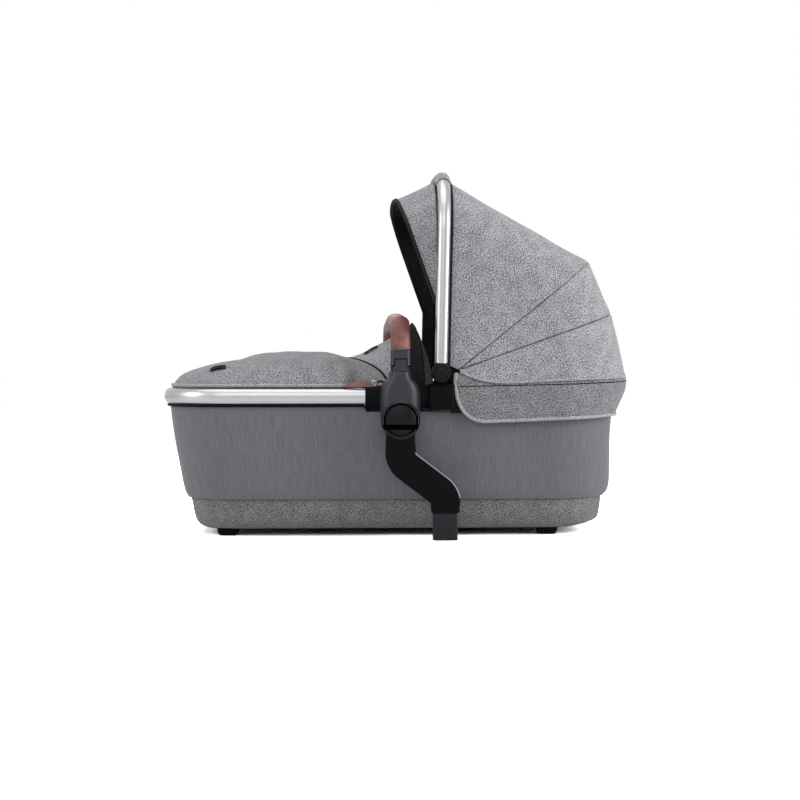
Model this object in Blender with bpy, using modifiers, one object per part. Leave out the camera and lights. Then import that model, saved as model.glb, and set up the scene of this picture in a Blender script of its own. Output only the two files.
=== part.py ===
"""A pram carrycot with a folding hood, a lift-off carry handle and two arms that plug into a chassis.

Metres, +Z up. The foot end is at -X, the head end at +X, the right side at -Y.
The origin is on the floor, under the middle of the whole carrycot.
"""

import math

import bmesh
import bpy
from mathutils import Matrix, Vector

# Shared clearances
GAP = 0.0003
OVERRUN = 0.004

# Rim tube, an upright oval that runs round the cot
RIM_FOOT_X = -0.417
RIM_HEAD_X = 0.404
RIM_HALF_WIDTH = 0.192
RIM_FOOT_RADIUS = 0.110
RIM_HEAD_RADIUS = 0.130
RIM_Z = 0.2535
RIM_THICK = 0.022
RIM_TALL = 0.029
RIM_WALL = 0.0016

# Sleeves that join the two rim tubes inside the hubs
SLEEVE_THICK = 0.028
SLEEVE_TALL = 0.039
SLEEVE_FOOT_REACH = 0.062
SLEEVE_HEAD_REACH = 0.047

# Upper fabric wall, hung below the rim
FABRIC_WALL = 0.003
BODY_FOOT_LEAN = 0.032
BODY_HEAD_LEAN = 0.017
BODY_SIDE_LEAN = 0.0155
BODY_LOW_Z = 0.068
BODY_OUTSET = 0.001
# each row: share of the height, then of the lean at the foot, the head and the sides
BODY_SHARES = (
    (1.00, 0.00, 0.00, 0.00),
    (0.80, 0.10, 0.12, 0.05),
    (0.63, 0.22, 0.20, 0.15),
    (0.45, 0.38, 0.22, 0.30),
    (0.27, 0.56, 0.26, 0.50),
    (0.14, 0.70, 0.32, 0.65),
    (0.05, 0.84, 0.55, 0.82),
    (0.00, 1.00, 1.00, 1.00),
)

# Lower fabric wall
BASE_SETBACK = 0.0035
BASE_LOW_Z = 0.0145
BASE_FOOT_LEAN = 0.024
BASE_HEAD_LEAN = 0.036
BASE_SIDE_LEAN = 0.024
BASE_SHARES = (
    (1.00, 0.00, 0.00, 0.00),
    (0.74, 0.17, 0.05, 0.10),
    (0.46, 0.29, 0.11, 0.20),
    (0.18, 0.50, 0.25, 0.45),
    (0.05, 0.79, 0.70, 0.80),
    (0.00, 1.00, 1.00, 1.00),
)

# Plastic tray, stiff board and feet
TRAY_INSET = 0.0035
TRAY_LOW_Z = 0.0128
TRAY_TALL = 0.009
TRAY_EDGE = 0.002
BOARD_INSET = 0.004
BOARD_TALL = 0.004
FOOT_LONG = 0.042
FOOT_WIDE = 0.030
FOOT_TAPER_SHARE = 0.84
FOOT_EDGE = 0.002
FOOT_PAIR_FOOT_X = -0.309
FOOT_PAIR_HEAD_X = 0.273
FOOT_INSET = 0.064

# Cotton liner and mattress
LINER_WALL = 0.0025
LINER_TOP_INSET = 0.0135
LINER_LOW_INSET = 0.008
LINER_TOP_DROP = 0.006
MATTRESS_INSET = 0.004
MATTRESS_TALL = 0.036
MATTRESS_CROWN = 0.007
# each row: share of the height, then share of the crown that the outline is drawn in by
MATTRESS_SHARES = (
    (0.00, 1.4),
    (0.12, 0.4),
    (0.35, 0.0),
    (0.60, 0.0),
    (0.80, 0.9),
    (0.92, 3.0),
    (1.00, 8.0),
)

# Hubs that clamp the rim and carry the handle and the arms
HUB_X = 0.001
HUB_OUTSET = 0.008
HUB_DEPTH = 0.036
HUB_BUTTON_DROP = 0.0405
HUB_RADIUS = 0.036
HUB_TOP_RISE = 0.0445
HUB_NECK_HALF = 0.0205
HUB_EDGE = 0.004
HUB_BACK_INSET = 0.0165
HUB_BACK_DROP = 0.026
HUB_BACK_RISE = 0.0315
# each row: share of the height from the button to the top, then share from neck to full half width
HUB_SHOULDER_SHARES = (
    (0.50, 1.00),
    (0.62, 0.97),
    (0.72, 0.85),
    (0.80, 0.62),
    (0.86, 0.36),
    (0.92, 0.12),
    (1.00, 0.00),
)

# Round release buttons in the hubs, with their springs
BUTTON_RADIUS = 0.0295
BUTTON_DOME = 0.0035
BUTTON_BODY = 0.006
BUTTON_TRAVEL = 0.004
SPRING_CLOSED = 0.006
SPRING_RADIUS = 0.009
SPRING_WIRE = 0.0007
SPRING_TURNS = 3
SPRING_STEPS = 10

# Arms that carry the cot on a chassis
ARM_SETBACK = 0.0085
ARM_THICK = 0.026
ARM_TOP_HALF = 0.0255
ARM_MID_HALF = 0.0275
ARM_LOW_HALF = 0.0240
ARM_BEND_TOP_Z = 0.1406
ARM_BEND_LOW_Z = 0.0803
ARM_SHIFT = 0.079
ARM_BEND_RADIUS = 0.031
ARM_LOW_Z = 0.049
ARM_EDGE = 0.0022
PLUG_HALF = 0.022
PLUG_TAPER_SHARE = 0.96
PLUG_EDGE = 0.002

# Latch bolt in each plug and the cable that draws it
BOLT_WIDE = 0.012
BOLT_THICK = 0.008
BOLT_TALL = 0.016
BOLT_LOW_Z = 0.014
BOLT_NOSE_TALL = 0.008
BOLT_NOSE_OUT = 0.002
BOLT_TRAVEL = 0.006
CABLE_RADIUS = 0.0012
CABLE_IN_POCKET = 0.004

# Carry handle
HANDLE_RISE = 0.0965
HANDLE_RADIUS = 0.045
HANDLE_LEAN = 6.0
GRIP_WIDE = 0.035
GRIP_THICK = 0.026
GRIP_WALL = 0.0037
CORE_WALL = 0.0018
CORE_FIT = 0.0006
HANDLE_END_TALL = 0.0395
HANDLE_END_EDGE = 0.003
TONGUE_WIDE = 0.016
TONGUE_THICK = 0.010
TONGUE_DEEP = 0.012
TAB_WIDE = 0.019
TAB_TALL = 0.020
TAB_THICK = 0.0045
TAB_PROUD = 0.0012
TAB_TRAVEL = 0.003
TAB_RAISE = 0.0012
TAB_EDGE = 0.0008

# Hood hinge: clamps on the rim, pins and bow ends
PIVOT_X = 0.073
PIVOT_RISE = 0.020
CLAMP_FOOT_REACH = 0.023
CLAMP_HEAD_REACH = 0.0255
CLAMP_DROP = 0.0235
CLAMP_RISE = 0.0225
CLAMP_INSET = 0.0155
CLAMP_OUTSET = 0.020
CLAMP_EDGE = 0.0025
LUG_SETBACK = 0.013
LUG_THICK = 0.0055
LUG_HALF = 0.012
DISC_RADIUS = 0.017
DISC_THICK = 0.0225
PIN_RADIUS = 0.004
PIN_HEAD_RADIUS = 0.009
PIN_HEAD_TALL = 0.0022
EYE_RADIUS = 0.009

# Hood bow, the silver tube
BOW_ANGLE = 88.8
BOW_RISE = 0.3565
BOW_CORNER = 0.098
BOW_LEAN = 5.0
BOW_DIAMETER = 0.0235
BOW_WALL = 0.0015
BOW_START = 0.0165
SPIGOT_LONG = 0.018
WRAP_WALL = 0.0015
WRAP_FIT = 0.0005

# Fabric hood, drawn as arches that stand on the side of the cot
FAN_SHIFT = 0.036
FAN_DROP = 0.017
HOOD_OUTSET = 0.0155
CANOPY_WALL = 0.002
CANOPY_LEAN = 6.0
FRONT_SHIFT = 0.0065
FRONT_LIFT = 0.007
FRONT_ANGLE = 87.2
FRONT_RISE = 0.3450
FRONT_SETBACK = 0.0034
FRONT_CORNER = 0.088
UPPER_ANGLE = 42.4
UPPER_RISE = 0.333
UPPER_CORNER = 0.100
LOWER_ANGLE = 23.5
LOWER_RISE = 0.317
LOWER_CORNER = 0.112
REAR_ANGLE = 0.8
REAR_RISE = 0.321
REAR_CORNER = 0.138
SEAM_GAP = 0.0011
FAN_START = 0.010

# Wire ribs that spread the hood fabric
RIB_WIRE = 0.0025
RIB_INSET = 0.010
RIB_UPPER_ANGLE = 36.4
RIB_LOWER_ANGLE = 17.9
RIB_FOOT_REACH = 0.045
RIB_NECK = 0.013

# Sun visor in front of the bow
VISOR_LIFT = 0.094
VISOR_ANGLE = 109.5
VISOR_RISE = 0.2400
VISOR_SETBACK = 0.0055
VISOR_CORNER = 0.090
VISOR_BACK_RISE = 0.2595
VISOR_BACK_ANGLE = 92.3
VISOR_WIRE = 0.0015
VISOR_WIRE_INSET = 0.0040

# Skirt that hangs from the hood over the rim
SKIRT_DROP = 0.072
SKIRT_BACK_DROP = 0.064
SKIRT_SWELL = 0.002
SKIRT_TUCK = 0.0215
SKIRT_SIDE_TUCK = 0.0022
# each row: share of the drop, of the swell, of the tuck
SKIRT_SHARES = (
    (0.00, 0.0, 0.00),
    (0.10, 1.0, 0.00),
    (0.35, 1.0, 0.12),
    (0.65, 0.6, 0.50),
    (1.00, 0.0, 1.00),
)
# the rounded front corner: share of the straight side, then share of the full drop
SKIRT_FRONT_SHARES = ((0.0, 0.33), (0.05, 0.55), (0.12, 0.73), (0.25, 0.90), (0.60, 0.98))

# Zip slider and puller at the back of the hood
SLIDER_TALL = 0.009
SLIDER_WIDE = 0.010
SLIDER_THICK = 0.003
SLIDER_DROP = 0.0055
PULLER_LONG = 0.031
PULLER_WIDE = 0.011
PULLER_THICK = 0.0022
PULLER_EDGE = 0.0006
PULLER_PLAY = 0.0007

# Foot apron and its raised collar
APRON_WALL = 0.0025
APRON_EDGE_INSET = 0.004
APRON_VALLEY_X = -0.092
APRON_VALLEY_SIDE_X = -0.018
APRON_SIDE_INSET = 0.002
APRON_NECK_INSET = 0.0235
APRON_NECK_START = -0.105
APRON_NECK_END = -0.066
APRON_HEM = 0.0004
APRON_RISE = 0.0650
# each row: share of the length from the foot edge to the valley, share of the rise
APRON_SHARES = (
    (0.00, 0.00),
    (0.02, 0.24),
    (0.056, 0.39),
    (0.10, 0.48),
    (0.17, 0.59),
    (0.24, 0.68),
    (0.31, 0.74),
    (0.38, 0.79),
    (0.45, 0.91),
    (0.52, 0.97),
    (0.60, 1.00),
    (0.73, 1.01),
    (0.87, 1.00),
    (0.94, 0.91),
    (1.00, 0.82),
)
ACROSS_SHARES = (-1.0, -0.965, -0.88, -0.72, -0.48, -0.24, 0.0, 0.24, 0.48, 0.72, 0.88, 0.965, 1.0)
CROWN_POWER = 3.2
COLLAR_TOP_X = 0.031
COLLAR_TOP_SIDE_X = 0.046
COLLAR_RISE = 0.1185
COLLAR_GAP_SHARE = 0.006
# each row: share of the way from the valley to the free edge, share of the rise
COLLAR_SHARES = ((0.00, 0.452), (0.20, 0.515), (0.40, 0.625), (0.68, 0.775), (1.00, 1.000))
COLLAR_POWER = 2.4
LABEL_LONG = 0.026
LABEL_WIDE = 0.012
LABEL_THICK = 0.0012
LABEL_LIFT = 0.0004
APRON_TAB_FACET = (5, 2)
COLLAR_TAB_FACET = (1, 4)

# Facets
CORNER_STEPS = 6
ROUND_STEPS = 24
TUBE_SIDES = 12
BOW_SIDES = 12
GRIP_SIDES = 10
ARCH_LEG_SHARES = (0.0, 0.33, 0.66)
ARCH_CORNER_STEPS = 5
ARCH_TOP_STEPS = 4

# Colours: linear red, green and blue, then roughness and metallic value
COLOURS = {
    "silver": ((0.60, 0.60, 0.61), 0.32, 1.0),
    "smooth_fabric": ((0.127, 0.124, 0.136), 0.85, 0.0),
    "flecked_fabric": ((0.215, 0.212, 0.228), 0.95, 0.0),
    "dark_fabric": ((0.030, 0.031, 0.034), 0.95, 0.0),
    "cotton": ((0.47, 0.47, 0.49), 0.95, 0.0),
    "black_plastic": ((0.010, 0.011, 0.013), 0.42, 0.0),
    "leather": ((0.165, 0.052, 0.034), 0.48, 0.0),
    "steel": ((0.45, 0.45, 0.46), 0.35, 1.0),
    "board": ((0.32, 0.24, 0.16), 0.80, 0.0),
}

SIDES = (("right", -1.0), ("left", 1.0))

# Places across the cot, all measured from the rim
HUB_INNER_Y = RIM_HALF_WIDTH + HUB_OUTSET
HUB_BACK_INNER_Y = RIM_HALF_WIDTH - HUB_BACK_INSET
ARM_INNER_Y = HUB_INNER_Y + ARM_SETBACK
HANDLE_Y = HUB_INNER_Y + HUB_DEPTH / 2
CLAMP_INNER_Y = RIM_HALF_WIDTH - CLAMP_INSET
CLAMP_OUTER_Y = RIM_HALF_WIDTH + CLAMP_OUTSET
LUG_INNER_Y = CLAMP_OUTER_Y - LUG_SETBACK
LUG_OUTER_Y = LUG_INNER_Y + LUG_THICK
BOW_HALF_WIDTH = LUG_OUTER_Y + GAP + DISC_THICK / 2
HOOD_HALF_WIDTH = RIM_HALF_WIDTH + HOOD_OUTSET
FRONT_HALF_WIDTH = HOOD_HALF_WIDTH - FRONT_SETBACK
VISOR_HALF_WIDTH = HOOD_HALF_WIDTH - VISOR_SETBACK
APRON_HALF_WIDTH = RIM_HALF_WIDTH - APRON_SIDE_INSET
APRON_NECK_HALF = RIM_HALF_WIDTH - APRON_NECK_INSET

# Places along and above the cot, all measured from the rim and the hood's hinge
HUB_BUTTON_Z = RIM_Z - HUB_BUTTON_DROP
HUB_TOP_Z = RIM_Z + HUB_TOP_RISE
HUB_BACK_LOW_Z = RIM_Z - HUB_BACK_DROP
HUB_BACK_TOP_Z = RIM_Z + HUB_BACK_RISE
CLAMP_FOOT_X = PIVOT_X - CLAMP_FOOT_REACH
CLAMP_HEAD_X = PIVOT_X + CLAMP_HEAD_REACH
CLAMP_LOW_Z = RIM_Z - CLAMP_DROP
CLAMP_TOP_Z = RIM_Z + CLAMP_RISE
PIVOT_Z = CLAMP_TOP_Z + PIVOT_RISE
FAN_X = PIVOT_X + FAN_SHIFT
FAN_Z = PIVOT_Z - FAN_DROP
FRONT_X = PIVOT_X + FRONT_SHIFT
FRONT_Z = PIVOT_Z + FRONT_LIFT
VISOR_Z = PIVOT_Z + VISOR_LIFT
SLIDER_Z = FAN_Z - SLIDER_DROP


for old in list(bpy.data.objects):
    bpy.data.objects.remove(old)

parts = bpy.data.collections.new("carrycot")
cutters = bpy.data.collections.new("cutters")
bpy.context.scene.collection.children.link(parts)
bpy.context.scene.collection.children.link(cutters)
cutters.hide_render = True

# The centre of the outline: the rim at the foot, the puller at the back of the hood
BACK_X = FAN_X + REAR_RISE * math.cos(math.radians(REAR_ANGLE)) + SKIRT_SWELL
PULLER_X = BACK_X + GAP + SLIDER_THICK / 2
LENGTH_CENTRE = (RIM_FOOT_X - RIM_THICK / 2 + BACK_X + GAP + SLIDER_THICK) / 2
root = bpy.data.objects.new("carrycot_origin", None)
root.location = (-LENGTH_CENTRE, 0.0, 0.0)
parts.objects.link(root)


def material(name):
    """One Principled material for each kind of surface."""
    found = bpy.data.materials.get(name)
    if found:
        return found
    colour, roughness, metallic = COLOURS[name]
    made = bpy.data.materials.new(name)
    made.use_nodes = True
    shader = made.node_tree.nodes["Principled BSDF"]
    shader.inputs["Base Color"].default_value = (*colour, 1.0)
    shader.inputs["Roughness"].default_value = roughness
    shader.inputs["Metallic"].default_value = metallic
    made.diffuse_color = (*colour, 1.0)
    return made


def place(name, data, surface, location=(0.0, 0.0, 0.0), frame=None):
    """Adds a part to the carrycot; a part without a surface is a cutter."""
    obj = bpy.data.objects.new(name, data)
    obj.parent = root
    obj.matrix_local = Matrix.Translation(location) @ (frame or Matrix.Identity(4))
    if surface:
        parts.objects.link(obj)
        data.materials.append(material(surface))
    else:
        cutters.objects.link(obj)
        obj.hide_render = True
        obj.display_type = "WIRE"
    return obj


def smooth(obj, angle=35.0):
    obj.data.shade_smooth()
    obj.data.set_sharp_from_angle(angle=math.radians(angle))
    return obj


def frame_of(x_axis, y_axis):
    """A rotation from two of its axes."""
    x_axis = Vector(x_axis)
    y_axis = Vector(y_axis)
    return Matrix((x_axis, y_axis, x_axis.cross(y_axis))).transposed().to_4x4()


def hoop_frame(angle):
    """A frame whose X runs across the cot and whose Y rises at an angle to the floor, towards the head."""
    turn = math.radians(angle)
    return frame_of((0.0, 1.0, 0.0), (math.cos(turn), 0.0, math.sin(turn)))


SIDE_FRAME = frame_of((1.0, 0.0, 0.0), (0.0, 0.0, 1.0))
END_FRAME = hoop_frame(90.0)


def arc(centre, radius, start, end, steps):
    """Points along an arc, with its angles in degrees."""
    turns = [math.radians(start + (end - start) * i / steps) for i in range(steps + 1)]
    return [(centre[0] + radius * math.cos(t), centre[1] + radius * math.sin(t)) for t in turns]


def oval(wide, tall, count=TUBE_SIDES):
    turns = [2 * math.pi * i / count for i in range(count)]
    return [(wide / 2 * math.cos(t), tall / 2 * math.sin(t)) for t in turns]


def rounded_box(wide, tall, radius, steps=3):
    """The outline of a rounded rectangle about its own centre."""
    x, y = wide / 2 - radius, tall / 2 - radius
    corners = ((x, y, 0.0), (-x, y, 90.0), (-x, -y, 180.0), (x, -y, 270.0))
    return [p for cx, cy, a in corners for p in arc((cx, cy), radius, a, a + 90.0, steps)]


def foot_turn(foot_x, half_width, radius):
    """Plan view of an end at -X, from the right side round to the left."""
    inner = half_width - radius
    first = arc((foot_x + radius, -inner), radius, 270.0, 180.0, CORNER_STEPS)
    return first + arc((foot_x + radius, inner), radius, 180.0, 90.0, CORNER_STEPS)


def head_turn(head_x, half_width, radius):
    """Plan view of an end at +X, from the left side round to the right."""
    inner = half_width - radius
    first = arc((head_x - radius, inner), radius, 90.0, 0.0, CORNER_STEPS)
    return first + arc((head_x - radius, -inner), radius, 0.0, -90.0, CORNER_STEPS)


def plan_loop(foot_inset, head_inset, side_inset):
    """The rim's centre line drawn in by an inset at each end and at the sides."""
    half_width = RIM_HALF_WIDTH - side_inset
    foot = foot_turn(RIM_FOOT_X + foot_inset, half_width, RIM_FOOT_RADIUS - side_inset)
    return foot + head_turn(RIM_HEAD_X - head_inset, half_width, RIM_HEAD_RADIUS - side_inset)


def arch(half_width, rise, radius, lean, start=0.0, leg_shares=(0.0,)):
    """An arch across the cot: straight legs, round corners and a long crown that is tangent to them."""
    turn = math.radians(lean)
    top_radius = radius + (half_width - radius) / math.sin(turn)
    corner_z = rise - top_radius + (top_radius - radius) * math.cos(turn)
    leg = [(-half_width, start + share * (corner_z - start)) for share in leg_shares]
    corner = arc((radius - half_width, corner_z), radius, 180.0, 90.0 + lean, ARCH_CORNER_STEPS)
    crown = arc((0.0, rise - top_radius), top_radius, 90.0 + lean, 90.0, ARCH_TOP_STEPS)[1:]
    half = leg + corner + crown
    return half + [(-x, y) for x, y in reversed(half[:-1])]


def spline_on(curve, points, cyclic):
    spline = curve.splines.new("POLY")
    spline.points.add(len(points) - 1)
    for point, place_at in zip(spline.points, points):
        point.co = (*place_at, 1.0) if len(place_at) == 3 else (*place_at, 0.0, 1.0)
    spline.use_cyclic_u = cyclic


def section(points):
    """A closed section that is swept along a tube's line, drawn clockwise so that its faces point out."""
    curve = bpy.data.curves.new("section", "CURVE")
    spline_on(curve, points[::-1], True)
    return place("section", curve, None)


def tube(name, points, profile, surface, location=(0.0, 0.0, 0.0), frame=None, wall=0.0):
    """A tube along points in its own XY plane: solid with caps, or hollow and open at its ends."""
    curve = bpy.data.curves.new(name, "CURVE")
    curve.dimensions = "3D"
    curve.twist_mode = "Z_UP"
    curve.bevel_mode = "OBJECT"
    curve.bevel_object = profile
    curve.use_fill_caps = not wall
    spline_on(curve, points, False)
    obj = place(name, curve, surface, location, frame)
    if wall:
        shell = obj.modifiers.new("wall", "SOLIDIFY")
        shell.thickness = wall
        shell.offset = -1.0
        shell.use_even_offset = True
    return obj


def wire(name, points, radius, surface, location=(0.0, 0.0, 0.0), frame=None, resolution=1):
    curve = bpy.data.curves.new(name, "CURVE")
    curve.dimensions = "3D"
    curve.bevel_depth = radius
    curve.bevel_resolution = resolution
    curve.use_fill_caps = True
    spline_on(curve, points, False)
    return place(name, curve, surface, location, frame)


def plate(name, outlines, thick, surface, location=(0.0, 0.0, 0.0), frame=None, edge=0.0, resolution=0):
    """A flat outline, with any holes, made thick about its own plane and rounded at its edges."""
    curve = bpy.data.curves.new(name, "CURVE")
    curve.dimensions = "2D"
    curve.fill_mode = "BOTH"
    curve.extrude = thick / 2 - edge
    curve.bevel_depth = edge
    curve.bevel_resolution = resolution
    curve.offset = -edge
    for outline in outlines:
        spline_on(curve, outline, True)
    return place(name, curve, surface, location, frame)


def as_mesh(obj):
    """The same object as a closed mesh, which can be cut or joined."""
    bpy.context.view_layer.update()
    graph = bpy.context.evaluated_depsgraph_get()
    mesh = bpy.data.meshes.new_from_object(obj.evaluated_get(graph))
    name = obj.name
    is_cutter = obj.hide_render
    matrix = obj.matrix_local.copy()
    bpy.data.objects.remove(obj)
    bm = bmesh.new()
    bm.from_mesh(mesh)
    bmesh.ops.remove_doubles(bm, verts=bm.verts, dist=GAP / 30)
    bmesh.ops.recalc_face_normals(bm, faces=bm.faces)
    bm.to_mesh(mesh)
    bm.free()
    made = bpy.data.objects.new(name, mesh)
    made.parent = root
    made.matrix_local = matrix
    if is_cutter:
        cutters.objects.link(made)
        made.hide_render = True
        made.display_type = "WIRE"
    else:
        parts.objects.link(made)
    return smooth(made)


def box(name, low, high, surface, origin=None, edge=0.0):
    """A box between two corners, with its origin at its centre or at a given point."""
    low, high = Vector(low), Vector(high)
    middle = (low + high) / 2
    origin = Vector(origin) if origin else middle
    bm = bmesh.new()
    bmesh.ops.create_cube(bm, size=1.0)
    bmesh.ops.scale(bm, vec=high - low, verts=bm.verts)
    bmesh.ops.translate(bm, vec=middle - origin, verts=bm.verts)
    mesh = bpy.data.meshes.new(name)
    bm.to_mesh(mesh)
    bm.free()
    obj = place(name, mesh, surface, origin)
    if edge:
        rounding(obj, edge)
    return obj


def rounding(obj, width, segments=2):
    bevel = obj.modifiers.new("edges", "BEVEL")
    bevel.width = width
    bevel.segments = segments
    bevel.limit_method = "ANGLE"
    bevel.angle_limit = math.radians(50.0)


def cylinder(name, radius, low, high, surface, location, frame, steps=ROUND_STEPS):
    """A cylinder along its own Z from low to high."""
    bm = bmesh.new()
    bmesh.ops.create_cone(
        bm, cap_ends=True, segments=steps, radius1=radius, radius2=radius, depth=high - low
    )
    bmesh.ops.translate(bm, vec=(0.0, 0.0, (low + high) / 2), verts=bm.verts)
    mesh = bpy.data.meshes.new(name)
    bm.to_mesh(mesh)
    bm.free()
    return smooth(place(name, mesh, surface, location, frame))


def turned(name, profile, surface, location, frame, steps=ROUND_STEPS):
    """A profile of radius and height turned about its own Z; it runs down the outer side."""
    mesh = bpy.data.meshes.new(name)
    edges = [(i, i + 1) for i in range(len(profile) - 1)]
    mesh.from_pydata([(radius, 0.0, height) for radius, height in profile], edges, [])
    obj = place(name, mesh, surface, location, frame)
    screw = obj.modifiers.new("turn", "SCREW")
    screw.steps = steps
    screw.render_steps = steps
    screw.use_merge_vertices = True
    screw.merge_threshold = GAP / 30
    return obj


def lofted(name, rows, surface, location=(0.0, 0.0, 0.0), wall=0.0, cyclic=True, capped=False):
    """Faces between rows of points; a wall makes the sheet a shell, caps make it a solid."""
    bm = bmesh.new()
    rings = [[bm.verts.new(point) for point in row] for row in rows]
    for low, high in zip(rings, rings[1:]):
        count = len(low)
        for i in range(count if cyclic else count - 1):
            j = (i + 1) % count
            bm.faces.new((low[i], low[j], high[j], high[i]))
    if capped:
        bm.faces.new(rings[0])
        bm.faces.new(rings[-1])
    bmesh.ops.recalc_face_normals(bm, faces=bm.faces)
    mesh = bpy.data.meshes.new(name)
    bm.to_mesh(mesh)
    bm.free()
    obj = place(name, mesh, surface, location)
    smooth(obj)
    if wall:
        shell = obj.modifiers.new("wall", "SOLIDIFY")
        shell.thickness = wall
        shell.offset = -1.0
        shell.use_even_offset = True
    return obj


def boolean(obj, other, operation):
    change = obj.modifiers.new(operation.lower(), "BOOLEAN")
    change.object = other
    change.operation = operation
    change.solver = "EXACT"


def cut(obj, *others):
    for other in others:
        boolean(obj, other, "DIFFERENCE")


def join(obj, *others):
    for other in others:
        boolean(obj, other, "UNION")


def in_plan(points, height):
    return [(x, y, height) for x, y in points]


# Rim tubes and the sleeves between them

rim_section = section(oval(RIM_THICK, RIM_TALL))
foot_line = foot_turn(RIM_FOOT_X, RIM_HALF_WIDTH, RIM_FOOT_RADIUS)
head_line = head_turn(RIM_HEAD_X, RIM_HALF_WIDTH, RIM_HEAD_RADIUS)
foot_end_x = HUB_X - GAP / 2
head_end_x = HUB_X + GAP / 2
foot_line = [(foot_end_x, -RIM_HALF_WIDTH), *foot_line, (foot_end_x, RIM_HALF_WIDTH)]
head_line = [(head_end_x, RIM_HALF_WIDTH), *head_line, (head_end_x, -RIM_HALF_WIDTH)]
tube("rim_tube_foot", foot_line, rim_section, "silver", (0.0, 0.0, RIM_Z), wall=RIM_WALL)
tube("rim_tube_head", head_line, rim_section, "silver", (0.0, 0.0, RIM_Z), wall=RIM_WALL)

sleeve_bore = oval(RIM_THICK + 2 * GAP, RIM_TALL + 2 * GAP)
sleeve_long = SLEEVE_FOOT_REACH + SLEEVE_HEAD_REACH
sleeve_x = HUB_X + (SLEEVE_HEAD_REACH - SLEEVE_FOOT_REACH) / 2
for side, sign in SIDES:
    sleeve_outlines = (oval(SLEEVE_THICK, SLEEVE_TALL), sleeve_bore)
    at = (sleeve_x, sign * RIM_HALF_WIDTH, RIM_Z)
    plate("rim_sleeve_" + side, sleeve_outlines, sleeve_long, "black_plastic", at, END_FRAME)

# Fabric walls, tray, board and feet

rim_low_z = RIM_Z - RIM_TALL / 2
body_tall = rim_low_z - GAP - BODY_LOW_Z
body_rows = []
for height_share, foot_share, head_share, side_share in BODY_SHARES:
    loop = plan_loop(
        foot_share * BODY_FOOT_LEAN,
        head_share * BODY_HEAD_LEAN,
        side_share * BODY_SIDE_LEAN - BODY_OUTSET,
    )
    body_rows.append(in_plan(loop, BODY_LOW_Z + height_share * body_tall))
body = lofted("body_fabric", body_rows, "smooth_fabric", wall=FABRIC_WALL)

base_top_z = BODY_LOW_Z - GAP
base_tall = base_top_z - BASE_LOW_Z
base_rows = []
for height_share, foot_share, head_share, side_share in BASE_SHARES:
    loop = plan_loop(
        BODY_FOOT_LEAN + BASE_SETBACK + foot_share * BASE_FOOT_LEAN,
        BODY_HEAD_LEAN + BASE_SETBACK + head_share * BASE_HEAD_LEAN,
        BODY_SIDE_LEAN + side_share * BASE_SIDE_LEAN,
    )
    base_rows.append(in_plan(loop, BASE_LOW_Z + height_share * base_tall))
lofted("base_fabric", base_rows, "flecked_fabric", wall=FABRIC_WALL)

low_foot_inset = BODY_FOOT_LEAN + BASE_SETBACK + BASE_FOOT_LEAN
low_head_inset = BODY_HEAD_LEAN + BASE_SETBACK + BASE_HEAD_LEAN
low_side_inset = BODY_SIDE_LEAN + BASE_SIDE_LEAN


def floor_loop(inset):
    """The bottom edge of the lower fabric wall, drawn in."""
    return plan_loop(low_foot_inset + inset, low_head_inset + inset, low_side_inset + inset)


tray_z = TRAY_LOW_Z + TRAY_TALL / 2
tray_loop = floor_loop(TRAY_INSET)
plate("base_tray", (tray_loop,), TRAY_TALL, "black_plastic", (0.0, 0.0, tray_z), edge=TRAY_EDGE)
board_low_z = TRAY_LOW_Z + TRAY_TALL + GAP
board_z = board_low_z + BOARD_TALL / 2
board_loop = floor_loop(BOARD_INSET)
plate("base_board", (board_loop,), BOARD_TALL, "board", (0.0, 0.0, board_z))

foot_top_z = TRAY_LOW_Z - GAP
for side, sign in SIDES:
    for end, foot_x in (("foot_end", FOOT_PAIR_FOOT_X), ("head_end", FOOT_PAIR_HEAD_X)):
        top = rounded_box(FOOT_LONG, FOOT_WIDE, FOOT_WIDE / 3)
        low = [(x * FOOT_TAPER_SHARE, y * FOOT_TAPER_SHARE) for x, y in top]
        rows = [in_plan(low, -foot_top_z), in_plan(top, 0.0)]
        at = (foot_x, sign * (RIM_HALF_WIDTH - FOOT_INSET), foot_top_z)
        foot = lofted(end + "_foot_" + side, rows, "black_plastic", at, capped=True)
        rounding(foot, FOOT_EDGE, 1)

# Liner and mattress inside

board_top_z = board_low_z + BOARD_TALL
liner_low_z = board_top_z + GAP
liner_top_z = RIM_Z - LINER_TOP_DROP
liner_top_loop = plan_loop(LINER_TOP_INSET, LINER_TOP_INSET, LINER_TOP_INSET)
liner_low_loop = floor_loop(LINER_LOW_INSET)
liner_rows = []
for share in (1.0, 0.6, 0.25, 0.0):
    pairs = zip(liner_low_loop, liner_top_loop)
    loop = [(lx + (tx - lx) * share, ly + (ty - ly) * share) for (lx, ly), (tx, ty) in pairs]
    liner_rows.append(in_plan(loop, liner_low_z + share * (liner_top_z - liner_low_z)))
liner = lofted("inner_liner", liner_rows, "cotton", wall=LINER_WALL)

mattress_inset = LINER_LOW_INSET + LINER_WALL + MATTRESS_INSET
mattress_low_z = board_top_z + GAP
mattress_rows = []
for height_share, draw_share in MATTRESS_SHARES:
    loop = floor_loop(mattress_inset + draw_share * MATTRESS_CROWN)
    mattress_rows.append(in_plan(loop, height_share * MATTRESS_TALL))
lofted("mattress", mattress_rows, "cotton", (0.0, 0.0, mattress_low_z), capped=True)

# Room in the fabric wall and the liner for the hubs and the hood clamps

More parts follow.
